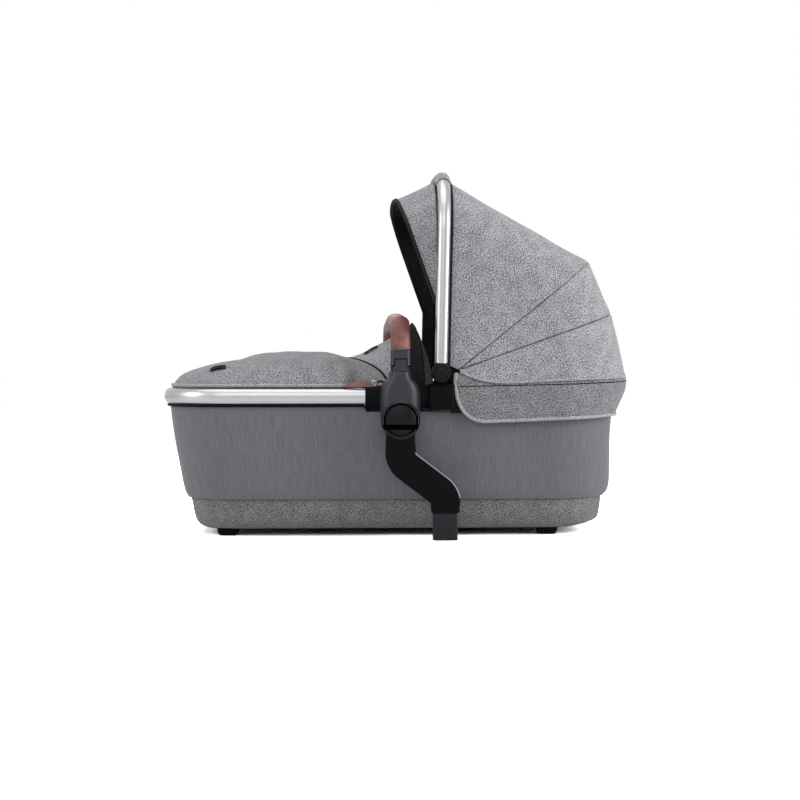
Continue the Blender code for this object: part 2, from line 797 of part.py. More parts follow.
for side, sign in SIDES:
    notch_inner_y = (RIM_HALF_WIDTH - LINER_TOP_INSET) / 2
    notch_ys = sorted((sign * notch_inner_y, sign * (RIM_HALF_WIDTH + RIM_THICK)))
    notch = box(
        "fabric_notch_" + side,
        (HUB_X - SLEEVE_FOOT_REACH - GAP, notch_ys[0], min(HUB_BACK_LOW_Z, CLAMP_LOW_Z) - GAP),
        (CLAMP_HEAD_X + GAP, notch_ys[1], RIM_Z + RIM_TALL),
        None,
    )
    cut(body, notch)
    cut(liner, notch)

# Hubs


def hub_outline(low_z, top_z):
    """Side view of a hub about the button's centre: round below, narrowing to a neck above."""
    tall = HUB_TOP_Z - HUB_BUTTON_Z
    half = []
    if low_z < HUB_BUTTON_Z:
        half += arc((0.0, 0.0), HUB_RADIUS, -90.0, 0.0, CORNER_STEPS)
    else:
        half.append((HUB_RADIUS, low_z - HUB_BUTTON_Z))
    for height_share, width_share in HUB_SHOULDER_SHARES:
        width = HUB_NECK_HALF + width_share * (HUB_RADIUS - HUB_NECK_HALF)
        if height_share * tall < top_z - HUB_BUTTON_Z - GAP:
            half.append((width, height_share * tall))
            last_width = width
    half.append((last_width if top_z < HUB_TOP_Z else HUB_NECK_HALF, top_z - HUB_BUTTON_Z))
    other = [(-x, z) for x, z in reversed(half) if x > GAP]
    return half + other


def sleeve_channel(name, y):
    outline = oval(SLEEVE_THICK + 2 * GAP, SLEEVE_TALL + 2 * GAP)
    long = 2 * (HUB_RADIUS + OVERRUN)
    return as_mesh(plate(name, (outline,), long, None, (HUB_X, y, RIM_Z), END_FRAME))


def fillet(before, corner, after, radius, steps=4):
    """Points that round a corner of a path."""
    before, corner, after = Vector(before), Vector(corner), Vector(after)
    first = (before - corner).normalized()
    second = (after - corner).normalized()
    half_turn = first.angle(second) / 2
    centre = corner + (first + second).normalized() * (radius / math.sin(half_turn))
    reach = radius / math.tan(half_turn)
    start = corner + first * reach - centre
    end = corner + second * reach - centre
    spread = start.angle_signed(end)
    turns = [Matrix.Rotation(-spread * i / steps, 2) @ start for i in range(steps + 1)]
    return [tuple(centre + turn) for turn in turns]


arm_top = (0.0, HUB_BUTTON_Z)
arm_first = (0.0, ARM_BEND_TOP_Z)
arm_second = (ARM_SHIFT, ARM_BEND_LOW_Z)
arm_end = (ARM_SHIFT, ARM_LOW_Z)
arm_line = [arm_top]
arm_line += fillet(arm_top, arm_first, arm_second, ARM_BEND_RADIUS)
arm_line += fillet(arm_first, arm_second, arm_end, ARM_BEND_RADIUS)
arm_line.append(arm_end)


def arm_outline():
    """The arm's side view: its centre line widened by half widths that change from top to bottom."""
    last = len(arm_line) - 1
    left, right = [], []
    for i, point in enumerate(arm_line):
        before = Vector(arm_line[max(i - 1, 0)])
        after = Vector(arm_line[min(i + 1, last)])
        along = (after - before).normalized()
        across = Vector((along.y, -along.x))
        share = i / last
        if share < 0.5:
            half = ARM_TOP_HALF + (ARM_MID_HALF - ARM_TOP_HALF) * 2 * share
        else:
            half = ARM_MID_HALF + (ARM_LOW_HALF - ARM_MID_HALF) * (2 * share - 1)
        left.append(tuple(Vector(point) + across * half))
        right.append(tuple(Vector(point) - across * half))
    return left + list(reversed(right))


def spring_line():
    """A coil along its own Z, which fills the pocket below the button."""
    long = pocket_depth - BUTTON_BODY - 2 * (GAP + SPRING_WIRE)
    count = SPRING_TURNS * SPRING_STEPS
    points = []
    for i in range(count + 1):
        turn = 2 * math.pi * i / SPRING_STEPS
        height = SPRING_WIRE + GAP + long * i / count
        points.append((SPRING_RADIUS * math.cos(turn), SPRING_RADIUS * math.sin(turn), height))
    return points


hub_mid_y = HUB_INNER_Y + HUB_DEPTH / 2
hub_outer_y = HUB_INNER_Y + HUB_DEPTH
pocket_depth = BUTTON_BODY + BUTTON_TRAVEL + SPRING_CLOSED
pocket_floor_y = hub_outer_y - pocket_depth
arm_outer_y = ARM_INNER_Y + ARM_THICK
arm_mid_y = ARM_INNER_Y + ARM_THICK / 2
plug_x = HUB_X + ARM_SHIFT
cable_start = (0.0, HUB_BUTTON_Z - BUTTON_RADIUS + CABLE_IN_POCKET)
bolt_top_z = BOLT_LOW_Z + BOLT_TALL
cable_line = [cable_start, *arm_line[1:-1], (ARM_SHIFT, bolt_top_z + GAP)]

for side, sign in SIDES:
    outward = frame_of((1.0, 0.0, 0.0), (0.0, 0.0, -sign))
    at = (HUB_X, sign * hub_mid_y, HUB_BUTTON_Z)
    outline = hub_outline(HUB_BUTTON_Z - HUB_RADIUS, HUB_TOP_Z)
    cover = plate("hub_cover_" + side, (outline,), HUB_DEPTH, "black_plastic", at, SIDE_FRAME, HUB_EDGE, 1)
    cover = as_mesh(cover)
    channel = sleeve_channel("channel_" + side, sign * RIM_HALF_WIDTH)
    pocket = cylinder(
        "pocket_" + side,
        BUTTON_RADIUS + GAP,
        pocket_floor_y,
        hub_outer_y + OVERRUN,
        None,
        (HUB_X, 0.0, HUB_BUTTON_Z),
        outward,
    )
    bore_half = CABLE_RADIUS + GAP
    bore_y = sign * arm_mid_y
    cable_bore = box(
        "cable_bore_" + side,
        (HUB_X - bore_half, bore_y - bore_half, HUB_BUTTON_Z - HUB_RADIUS - OVERRUN),
        (HUB_X + bore_half, bore_y + bore_half, HUB_BUTTON_Z - BUTTON_RADIUS / 2),
        None,
    )
    tongue_half_wide = TONGUE_WIDE / 2 + GAP
    tongue_half_thick = TONGUE_THICK / 2 + GAP
    tongue_y = sign * HANDLE_Y
    tongue_pocket = box(
        "tongue_pocket_" + side,
        (HUB_X - tongue_half_wide, tongue_y - tongue_half_thick, HUB_TOP_Z - TONGUE_DEEP),
        (HUB_X + tongue_half_wide, tongue_y + tongue_half_thick, HUB_TOP_Z + OVERRUN),
        None,
    )
    cut(cover, channel, pocket, cable_bore, tongue_pocket)

    back_outer_y = HUB_INNER_Y - GAP
    back_deep = back_outer_y - HUB_BACK_INNER_Y
    at = (HUB_X, sign * (back_outer_y + HUB_BACK_INNER_Y) / 2, HUB_BUTTON_Z)
    outline = hub_outline(HUB_BACK_LOW_Z, HUB_BACK_TOP_Z)
    back = as_mesh(plate("hub_back_" + side, (outline,), back_deep, "black_plastic", at, SIDE_FRAME))
    cut(back, channel)

    button_profile = [(0.0, BUTTON_BODY + BUTTON_DOME)]
    for share in (0.35, 0.65, 0.86):
        dome = BUTTON_DOME * math.sqrt(1.0 - share * share)
        button_profile.append((BUTTON_RADIUS * share, BUTTON_BODY + dome))
    button_profile += [(BUTTON_RADIUS, BUTTON_BODY), (BUTTON_RADIUS, 0.0), (0.0, 0.0)]
    button_low_y = hub_outer_y - BUTTON_BODY
    at = (HUB_X, sign * button_low_y, HUB_BUTTON_Z)
    turned("release_button_" + side, button_profile, "black_plastic", at, outward)
    at = (HUB_X, sign * pocket_floor_y, HUB_BUTTON_Z)
    wire("button_spring_" + side, spring_line(), SPRING_WIRE, "steel", at, outward, 0)

    hub_round = cylinder(
        "hub_round_" + side,
        HUB_RADIUS + GAP,
        HUB_INNER_Y - OVERRUN,
        hub_outer_y + OVERRUN,
        None,
        (HUB_X, 0.0, HUB_BUTTON_Z),
        outward,
    )
    groove_line = [(x, z) for x, z in cable_line[:-1]] + [(ARM_SHIFT, ARM_LOW_Z - OVERRUN)]
    at = (HUB_X, sign * arm_mid_y, 0.0)
    groove = as_mesh(wire("groove_" + side, groove_line, CABLE_RADIUS + GAP, None, at, SIDE_FRAME))
    half_thick = ARM_THICK / 2 - GAP / 2
    cover_y = arm_outer_y - half_thick / 2
    back_y = ARM_INNER_Y + half_thick / 2
    for name, half_y in (("arm_cover_" + side, cover_y), ("arm_back_" + side, back_y)):
        at = (HUB_X, sign * half_y, 0.0)
        shell = plate(name, (arm_outline(),), half_thick, "black_plastic", at, SIDE_FRAME, ARM_EDGE)
        shell = as_mesh(shell)
        cut(shell, hub_round, groove)

    plug_top_z = ARM_LOW_Z - GAP
    top = rounded_box(2 * PLUG_HALF, ARM_THICK, PLUG_EDGE, 2)
    low = [(x * PLUG_TAPER_SHARE, y * PLUG_TAPER_SHARE) for x, y in top]
    rows = [in_plan(low, 0.0), in_plan(top, plug_top_z)]
    plug_at = (plug_x, sign * arm_mid_y, 0.0)
    plug = lofted("arm_plug_" + side, rows, "black_plastic", plug_at, capped=True)
    room_wide = BOLT_WIDE / 2 + GAP
    room_thick = BOLT_THICK / 2 + GAP
    bolt_y = sign * arm_mid_y
    bolt_room = box(
        "bolt_room_" + side,
        (plug_x - room_wide, bolt_y - room_thick, BOLT_LOW_Z - GAP),
        (plug_x + room_wide, bolt_y + room_thick, ARM_LOW_Z + OVERRUN),
        None,
    )
    nose_low_z = BOLT_LOW_Z + (BOLT_TALL - BOLT_NOSE_TALL) / 2
    nose_high_z = nose_low_z + BOLT_NOSE_TALL
    window_ys = sorted((bolt_y, sign * (ARM_INNER_Y - OVERRUN)))
    window = box(
        "bolt_window_" + side,
        (plug_x - BOLT_WIDE / 3 - GAP, window_ys[0], nose_low_z - GAP),
        (plug_x + BOLT_WIDE / 3 + GAP, window_ys[1], nose_high_z + BOLT_TRAVEL + GAP),
        None,
    )
    cut(plug, bolt_room, window)

    bolt = box(
        "latch_bolt_" + side,
        (plug_x - BOLT_WIDE / 2, bolt_y - BOLT_THICK / 2, BOLT_LOW_Z),
        (plug_x + BOLT_WIDE / 2, bolt_y + BOLT_THICK / 2, bolt_top_z),
        "steel",
        (plug_x, bolt_y, BOLT_LOW_Z),
    )
    nose_ys = sorted((bolt_y, sign * (ARM_INNER_Y - BOLT_NOSE_OUT)))
    nose = box(
        "bolt_nose_" + side,
        (plug_x - BOLT_WIDE / 3, nose_ys[0], nose_low_z),
        (plug_x + BOLT_WIDE / 3, nose_ys[1], nose_high_z),
        None,
    )
    join(bolt, nose)
    wire("release_cable_" + side, cable_line, CABLE_RADIUS, "steel", (HUB_X, bolt_y, 0.0), SIDE_FRAME)

# Carry handle

core_wide = GRIP_WIDE - 2 * (GRIP_WALL + CORE_FIT)
core_thick = GRIP_THICK - 2 * (GRIP_WALL + CORE_FIT)
grip_section = section(oval(GRIP_THICK, GRIP_WIDE, GRIP_SIDES))
core_section = section(oval(core_thick, core_wide, GRIP_SIDES))
handle_at = (HUB_X, 0.0, HUB_TOP_Z)
core_seat = TAB_RAISE + TAB_TALL + 4 * GAP
core_line = arch(HANDLE_Y, HANDLE_RISE, HANDLE_RADIUS, HANDLE_LEAN, core_seat)
grip_start = HANDLE_END_TALL + 2 * GAP
grip_line = [point for point in core_line if point[1] > grip_start + GAP]
grip_line = [(-HANDLE_Y, grip_start), *grip_line, (HANDLE_Y, grip_start)]
tube("handle_tube", core_line, core_section, "steel", handle_at, END_FRAME, CORE_WALL)
tube("handle_grip", grip_line, grip_section, "leather", handle_at, END_FRAME, GRIP_WALL)

for side, sign in SIDES:
    end_low_z = HUB_TOP_Z + GAP
    end_high_z = HUB_TOP_Z + HANDLE_END_TALL
    end_outer_y = HANDLE_Y + GRIP_THICK / 2
    at = (HUB_X, sign * HANDLE_Y, end_low_z)
    outline = rounded_box(GRIP_WIDE, GRIP_THICK, GRIP_THICK / 3)
    rows = [in_plan(outline, 0.0), in_plan(outline, end_high_z - end_low_z)]
    end = lofted("handle_end_" + side, rows, "black_plastic", at, capped=True)
    tongue = box(
        "tongue_" + side,
        (HUB_X - TONGUE_WIDE / 2, sign * HANDLE_Y - TONGUE_THICK / 2, HUB_TOP_Z - TONGUE_DEEP + GAP),
        (HUB_X + TONGUE_WIDE / 2, sign * HANDLE_Y + TONGUE_THICK / 2, end_low_z + core_seat / 2),
        None,
    )
    bore_low_z = HUB_TOP_Z + core_seat - GAP
    bore_section = oval(core_thick + 2 * GAP, core_wide + 2 * GAP, GRIP_SIDES)
    bore_outline = [(x, y) for y, x in bore_section]
    core_bore = plate(
        "core_bore_" + side,
        (bore_outline,),
        end_high_z + OVERRUN - bore_low_z,
        None,
        (HUB_X, sign * HANDLE_Y, (end_high_z + OVERRUN + bore_low_z) / 2),
    )
    core_bore = as_mesh(core_bore)
    tab_low_z = HUB_TOP_Z + TAB_RAISE
    tab_inner_y = end_outer_y + TAB_PROUD - TAB_THICK
    recess_inner_y = tab_inner_y - TAB_TRAVEL - GAP
    recess_ys = sorted((sign * recess_inner_y, sign * (end_outer_y + OVERRUN)))
    recess = box(
        "tab_recess_" + side,
        (HUB_X - TAB_WIDE / 2 - GAP, recess_ys[0], tab_low_z - GAP),
        (HUB_X + TAB_WIDE / 2 + GAP, recess_ys[1], tab_low_z + TAB_TALL + GAP),
        None,
    )
    join(end, tongue)
    cut(end, core_bore, recess)
    tab_ys = sorted((sign * tab_inner_y, sign * (end_outer_y + TAB_PROUD)))
    box(
        "handle_tab_" + side,
        (HUB_X - TAB_WIDE / 2, tab_ys[0], tab_low_z),
        (HUB_X + TAB_WIDE / 2, tab_ys[1], tab_low_z + TAB_TALL),
        "black_plastic",
        (HUB_X, sign * (end_outer_y + TAB_PROUD), tab_low_z + TAB_TALL / 2),
        TAB_EDGE,
    )

# Hood hinges

bow_y = BOW_HALF_WIDTH
disc_inner_y = LUG_OUTER_Y + GAP
disc_outer_y = disc_inner_y + DISC_THICK
eye_lower_y = LUG_INNER_Y - GAP - RIB_WIRE
eye_upper_y = eye_lower_y - GAP - 2 * RIB_WIRE
pin_end_y = eye_upper_y - RIB_WIRE - PIN_HEAD_TALL

for side, sign in SIDES:
    outward = frame_of((1.0, 0.0, 0.0), (0.0, 0.0, -sign))
    clamp_ys = sorted((sign * CLAMP_INNER_Y, sign * CLAMP_OUTER_Y))
    clamp = box(
        "hood_clamp_" + side,
        (CLAMP_FOOT_X, clamp_ys[0], CLAMP_LOW_Z),
        (CLAMP_HEAD_X, clamp_ys[1], CLAMP_TOP_Z),
        "black_plastic",
        edge=CLAMP_EDGE,
    )
    rim_outline = oval(RIM_THICK + 2 * GAP, RIM_TALL + 2 * GAP)
    clamp_long = CLAMP_HEAD_X - CLAMP_FOOT_X + 2 * OVERRUN
    at = ((CLAMP_FOOT_X + CLAMP_HEAD_X) / 2, sign * RIM_HALF_WIDTH, RIM_Z)
    rim_bore = as_mesh(plate("rim_bore_" + side, (rim_outline,), clamp_long, None, at, END_FRAME))
    lug_ys = sorted((sign * LUG_INNER_Y, sign * LUG_OUTER_Y))
    lug_web = box(
        "lug_web_" + side,
        (PIVOT_X - LUG_HALF, lug_ys[0], CLAMP_TOP_Z - CLAMP_EDGE),
        (PIVOT_X + LUG_HALF, lug_ys[1], PIVOT_Z),
        None,
    )
    lug_round = cylinder(
        "lug_round_" + side,
        LUG_HALF,
        LUG_INNER_Y,
        LUG_OUTER_Y,
        None,
        (PIVOT_X, 0.0, PIVOT_Z),
        outward,
    )
    pin_bore = cylinder(
        "pin_bore_" + side,
        PIN_RADIUS + GAP,
        pin_end_y - OVERRUN,
        disc_outer_y + OVERRUN,
        None,
        (PIVOT_X, 0.0, PIVOT_Z),
        outward,
        ROUND_STEPS // 2,
    )
    cut(clamp, rim_bore)
    join(clamp, lug_web, lug_round)
    cut(clamp, pin_bore)

    pin_profile = [
        (0.0, disc_outer_y + GAP + PIN_HEAD_TALL),
        (PIN_HEAD_RADIUS - PIN_HEAD_TALL / 2, disc_outer_y + GAP + PIN_HEAD_TALL),
        (PIN_HEAD_RADIUS, disc_outer_y + GAP + PIN_HEAD_TALL / 2),
        (PIN_HEAD_RADIUS, disc_outer_y + GAP),
        (PIN_RADIUS, disc_outer_y + GAP),
        (PIN_RADIUS, pin_end_y),
        (0.0, pin_end_y),
    ]
    pin_at = (PIVOT_X, 0.0, PIVOT_Z)
    turned("pivot_pin_" + side, pin_profile, "black_plastic", pin_at, outward, ROUND_STEPS // 2)

    bow_end = cylinder(
        "bow_end_" + side,
        DISC_RADIUS,
        disc_inner_y,
        disc_outer_y,
        "black_plastic",
        (PIVOT_X, 0.0, PIVOT_Z),
        outward,
    )
    spigot_radius = BOW_DIAMETER / 2 * math.cos(math.pi / BOW_SIDES) - BOW_WALL - GAP
    spigot = cylinder(
        "spigot_" + side,
        spigot_radius,
        PIN_RADIUS,
        BOW_START + SPIGOT_LONG,
        None,
        (PIVOT_X, sign * bow_y, PIVOT_Z),
        hoop_frame(BOW_ANGLE) @ Matrix.Rotation(math.radians(-90.0), 4, "X"),
        ROUND_STEPS // 2,
    )
    join(bow_end, spigot)
    cut(bow_end, pin_bore)

# Hood bow with its fabric wrap

pivot_at = (PIVOT_X, 0.0, PIVOT_Z)
bow_frame = hoop_frame(BOW_ANGLE)
bow_section = section(oval(BOW_DIAMETER, BOW_DIAMETER, BOW_SIDES))
bow_start = DISC_RADIUS + GAP
bow_line = arch(BOW_HALF_WIDTH, BOW_RISE, BOW_CORNER, BOW_LEAN, bow_start)
tube("hood_bow", bow_line, bow_section, "silver", pivot_at, bow_frame, BOW_WALL)
wrap_diameter = BOW_DIAMETER + 2 * (WRAP_FIT + WRAP_WALL)
wrap_section = section(oval(wrap_diameter, wrap_diameter, BOW_SIDES))
wrap_half = BOW_HALF_WIDTH - BOW_CORNER / 2
wrap_line = [point for point in bow_line if abs(point[0]) < wrap_half]
tube("bow_sleeve", wrap_line, wrap_section, "flecked_fabric", pivot_at, bow_frame, WRAP_WALL)

# Wire ribs, each with an eye on the hinge pin at both ends


def rib(name, angle, rise, corner, eye_y):
    """A wire arch through the hinge line; each rib stands at its own eyes, so that two pass each other."""
    frame = hoop_frame(angle)
    half_width = HOOD_HALF_WIDTH - RIB_INSET - (eye_lower_y - eye_y)
    line = arch(half_width, rise - RIB_INSET, corner - RIB_INSET, CANOPY_LEAN, RIB_FOOT_REACH)
    line = [(-eye_y, EYE_RADIUS / 2), (-eye_y, RIB_NECK), *line, (eye_y, RIB_NECK), (eye_y, EYE_RADIUS / 2)]
    body_of_wire = as_mesh(wire(name, line, RIB_WIRE, "steel", pivot_at, frame))
    eyes, bores = [], []
    for side, sign in SIDES:
        outward = frame_of((1.0, 0.0, 0.0), (0.0, 0.0, -sign))
        low = eye_y - RIB_WIRE
        high = eye_y + RIB_WIRE
        steps = ROUND_STEPS // 2
        eye_name = name + "_eye_" + side
        eyes.append(cylinder(eye_name, EYE_RADIUS, low, high, None, pivot_at, outward, steps))
        bores.append(bpy.data.objects["pin_bore_" + side])
    join(body_of_wire, *eyes)
    cut(body_of_wire, *bores)
    return body_of_wire


def pivot_reach(angle, rise):
    """How far the top of a fabric arch lies from the hinge line."""
    turn = math.radians(angle)
    top_x = FAN_X + rise * math.cos(turn)
    top_z = FAN_Z + rise * math.sin(turn)
    return math.hypot(top_x - PIVOT_X, top_z - PIVOT_Z)


upper_reach = pivot_reach(UPPER_ANGLE, UPPER_RISE)
lower_reach = pivot_reach(LOWER_ANGLE, LOWER_RISE)
rib("rib_upper", RIB_UPPER_ANGLE, upper_reach, UPPER_CORNER, eye_upper_y)
rib("rib_lower", RIB_LOWER_ANGLE, lower_reach, LOWER_CORNER, eye_lower_y)

# Hood fabric: four arches with panels between them


def hood_arch(x, z, angle, half_width, rise, corner, start=FAN_START, leg_shares=ARCH_LEG_SHARES):
    """An arch as points in the cot's own frame."""
    turn = math.radians(angle)
    flat = arch(half_width, rise, corner, CANOPY_LEAN, start, leg_shares)
    return [Vector((x + s * math.cos(turn), y, z + s * math.sin(turn))) for y, s in flat]


front_arch = hood_arch(FRONT_X, FRONT_Z, FRONT_ANGLE, FRONT_HALF_WIDTH, FRONT_RISE, FRONT_CORNER)
upper_arch = hood_arch(FAN_X, FAN_Z, UPPER_ANGLE, HOOD_HALF_WIDTH, UPPER_RISE, UPPER_CORNER)
lower_arch = hood_arch(FAN_X, FAN_Z, LOWER_ANGLE, HOOD_HALF_WIDTH, LOWER_RISE, LOWER_CORNER)
rear_arch = hood_arch(FAN_X, FAN_Z, REAR_ANGLE, HOOD_HALF_WIDTH, REAR_RISE, REAR_CORNER)
visor_x = PIVOT_X + (VISOR_Z - PIVOT_Z) / math.tan(math.radians(BOW_ANGLE))
visor_shape = (VISOR_HALF_WIDTH, VISOR_BACK_RISE, VISOR_CORNER)
visor_back = hood_arch(visor_x, VISOR_Z, VISOR_BACK_ANGLE, *visor_shape)
visor_shape = (VISOR_HALF_WIDTH, VISOR_RISE, VISOR_CORNER)
visor_front = hood_arch(visor_x, VISOR_Z, VISOR_ANGLE, *visor_shape)


def panel(name, first, second, surface, shares):
    """A fabric panel between two arches, kept a little short of both."""
    rows = []
    for share in shares:
        row = []
        for a, b in zip(first, second):
            least = SEAM_GAP / (b - a).length
            row.append(a.lerp(b, min(max(share, least), 1.0 - least)) - Vector(pivot_at))
        rows.append(row)
    return lofted(name, rows, surface, pivot_at, CANOPY_WALL, cyclic=False)


panel("canopy_front", front_arch, upper_arch, "flecked_fabric", (0.0, 0.5, 1.0))
panel("canopy_middle", upper_arch, lower_arch, "flecked_fabric", (0.0, 0.5, 1.0))
panel("canopy_rear", lower_arch, rear_arch, "flecked_fabric", (0.0, 0.5, 1.0))
panel("visor_fabric", visor_front, visor_back, "flecked_fabric", (0.0, 0.5, 1.0))

visor_wire_half = VISOR_HALF_WIDTH - VISOR_WIRE_INSET
visor_wire_line = arch(
    visor_wire_half, VISOR_RISE - VISOR_WIRE_INSET, VISOR_CORNER - VISOR_WIRE_INSET, CANOPY_LEAN, VISOR_WIRE
)
visor_at = (visor_x, 0.0, VISOR_Z)
visor_foot_y = BOW_HALF_WIDTH - BOW_DIAMETER / 2 - GAP
visor_wire_line = [(-visor_foot_y, 0.0), (-visor_wire_half, 0.0), *visor_wire_line]
visor_wire_line += [(visor_wire_half, 0.0), (visor_foot_y, 0.0)]
wire("visor_wire", visor_wire_line, VISOR_WIRE, "steel", visor_at, hoop_frame(VISOR_ANGLE))

# Skirt over the rim

skirt_legs = [share for share, _ in SKIRT_FRONT_SHARES]
rear_shape = (HOOD_HALF_WIDTH, REAR_RISE, REAR_CORNER)
skirt_line = hood_arch(FAN_X, FAN_Z, REAR_ANGLE, *rear_shape, 0.0, skirt_legs)
skirt_rows = []
for drop_share, swell_share, tuck_share in SKIRT_SHARES:
    row = []
    for i, point in enumerate(skirt_line):
        from_end = min(i, len(skirt_line) - 1 - i)
        back_share = max((point.x - FAN_X) / REAR_RISE, 0.0)
        side_share = min(abs(point.y) / HOOD_HALF_WIDTH, 1.0)
        drop = SKIRT_DROP + (SKIRT_BACK_DROP - SKIRT_DROP) * back_share
        if from_end < len(SKIRT_FRONT_SHARES):
            drop *= SKIRT_FRONT_SHARES[from_end][1]
        tuck = tuck_share * (SKIRT_TUCK + (SKIRT_SIDE_TUCK - SKIRT_TUCK) * side_share**4)
        inward = Vector((-(back_share**3), -math.copysign(side_share**4, point.y), 0.0))
        moved = point + inward * (tuck - swell_share * SKIRT_SWELL)
        row.append((moved.x, moved.y, point.z + SEAM_GAP - 2 * GAP - drop * drop_share))
    skirt_rows.append(row)
lofted("hood_skirt", skirt_rows, "flecked_fabric", wall=CANOPY_WALL, cyclic=False)

# Zip slider and its puller

slider_x = BACK_X + GAP
box(
    "zip_slider",
    (slider_x, -SLIDER_WIDE / 2, SLIDER_Z),
    (slider_x + SLIDER_THICK, SLIDER_WIDE / 2, SLIDER_Z + SLIDER_TALL),
    "black_plastic",
)
puller_top_z = SLIDER_Z - PULLER_PLAY
box(
    "zip_puller",
    (PULLER_X - PULLER_THICK / 2, -PULLER_WIDE / 2, puller_top_z - PULLER_LONG),
    (PULLER_X + PULLER_THICK / 2, PULLER_WIDE / 2, puller_top_z),
    "black_plastic",
    (PULLER_X, 0.0, puller_top_z - PULLER_THICK / 2),
    PULLER_EDGE,
)

# Apron, collar and their sewn tabs

apron_foot_x = RIM_FOOT_X + APRON_EDGE_INSET
apron_low_z = RIM_Z + RIM_TALL / 2 + GAP + APRON_HEM
apron_long = APRON_VALLEY_X - apron_foot_x


def apron_half_width(x):
    """Half the apron's width: round at the foot, straight along the rim, then drawn in beside the hubs."""
    radius = RIM_FOOT_RADIUS - APRON_EDGE_INSET
    from_foot = x - apron_foot_x
    half = APRON_HALF_WIDTH
    if from_foot < radius:
        half += math.sqrt(max(radius**2 - (radius - from_foot) ** 2, 0.0)) - radius
    neck = min(max((x - APRON_NECK_START) / (APRON_NECK_END - APRON_NECK_START), 0.0), 1.0)
    return half + (APRON_NECK_HALF - APRON_HALF_WIDTH) * neck * neck * (3.0 - 2.0 * neck)


def crown(share, power):
    """Height across the width: flat in the middle and steep at the edges."""
    return math.sqrt(max(1.0 - abs(share) ** power, 0.0))


def rise_at(table, share):
    """The share of the rise at a share of the way, read from a table."""
    for (low, low_rise), (high, high_rise) in zip(table, table[1:]):
        if share <= high:
            return low_rise + (high_rise - low_rise) * (share - low) / (high - low)
    return table[-1][1]


def apron_point(along_share, across):
    skew = (APRON_VALLEY_SIDE_X - APRON_VALLEY_X) * max(along_share * 2.0 - 1.0, 0.0) ** 2
    x = apron_foot_x + along_share * apron_long + skew * across * across
    rise = APRON_RISE * rise_at(APRON_SHARES, along_share) * crown(across, CROWN_POWER)
    return Vector((x, across * apron_half_width(x), apron_low_z + rise))


def collar_point(way_share, across):
    mid_x = APRON_VALLEY_X + (COLLAR_TOP_X - APRON_VALLEY_X) * way_share
    side_x = APRON_VALLEY_SIDE_X + (COLLAR_TOP_SIDE_X - APRON_VALLEY_SIDE_X) * way_share
    x = mid_x + (side_x - mid_x) * across * across
    power = CROWN_POWER + (COLLAR_POWER - CROWN_POWER) * way_share
    rise = COLLAR_RISE * rise_at(COLLAR_SHARES, way_share) * crown(across, power)
    return Vector((x, across * apron_half_width(x), apron_low_z + rise))


def sewn_tab(name, rows, facet):
    """A thin tab that lies flat on one facet of a sheet."""
    i, j = facet
    near, far = rows[i][j : j + 2], rows[i + 1][j : j + 2]
    middle = sum((*near, *far), Vector()) / 4
    along = (far[0] + far[1] - near[0] - near[1]).normalized()
    normal = (far[1] - near[0]).cross(near[1] - far[0]).normalized()
    normal *= math.copysign(1.0, normal.z)
    across = normal.cross(along).normalized()
    middle += normal * (LABEL_THICK / 2 + LABEL_LIFT)
    outline = rounded_box(LABEL_LONG, LABEL_WIDE, LABEL_THICK)
    lying = frame_of(across.cross(normal), across)
    return plate(name, (outline,), LABEL_THICK, "dark_fabric", middle, lying)


apron_rows = [[apron_point(along, across) for across in ACROSS_SHARES] for along, _ in APRON_SHARES]
lofted("apron", apron_rows, "flecked_fabric", wall=APRON_WALL, cyclic=False)
collar_ways = [max(way, COLLAR_GAP_SHARE) for way, _ in COLLAR_SHARES]
collar_rows = [[collar_point(way, across) for across in ACROSS_SHARES] for way in collar_ways]
lofted("apron_collar", collar_rows, "flecked_fabric", wall=APRON_WALL, cyclic=False)
sewn_tab("apron_tab", apron_rows, APRON_TAB_FACET)
sewn_tab("collar_tab", collar_rows, COLLAR_TAB_FACET)
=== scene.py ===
# %% [markdown]
# # The looks of a pram carrycot
# This lesson dresses a finished, measured model of a carrycot. The model is loaded as a fixed frame: its tubes,
# hubs, arms and hinges already have their places, so each piece here is made where the frame says, in metres,
# with +Z up, the foot end at -X and the right side at -Y.

import math

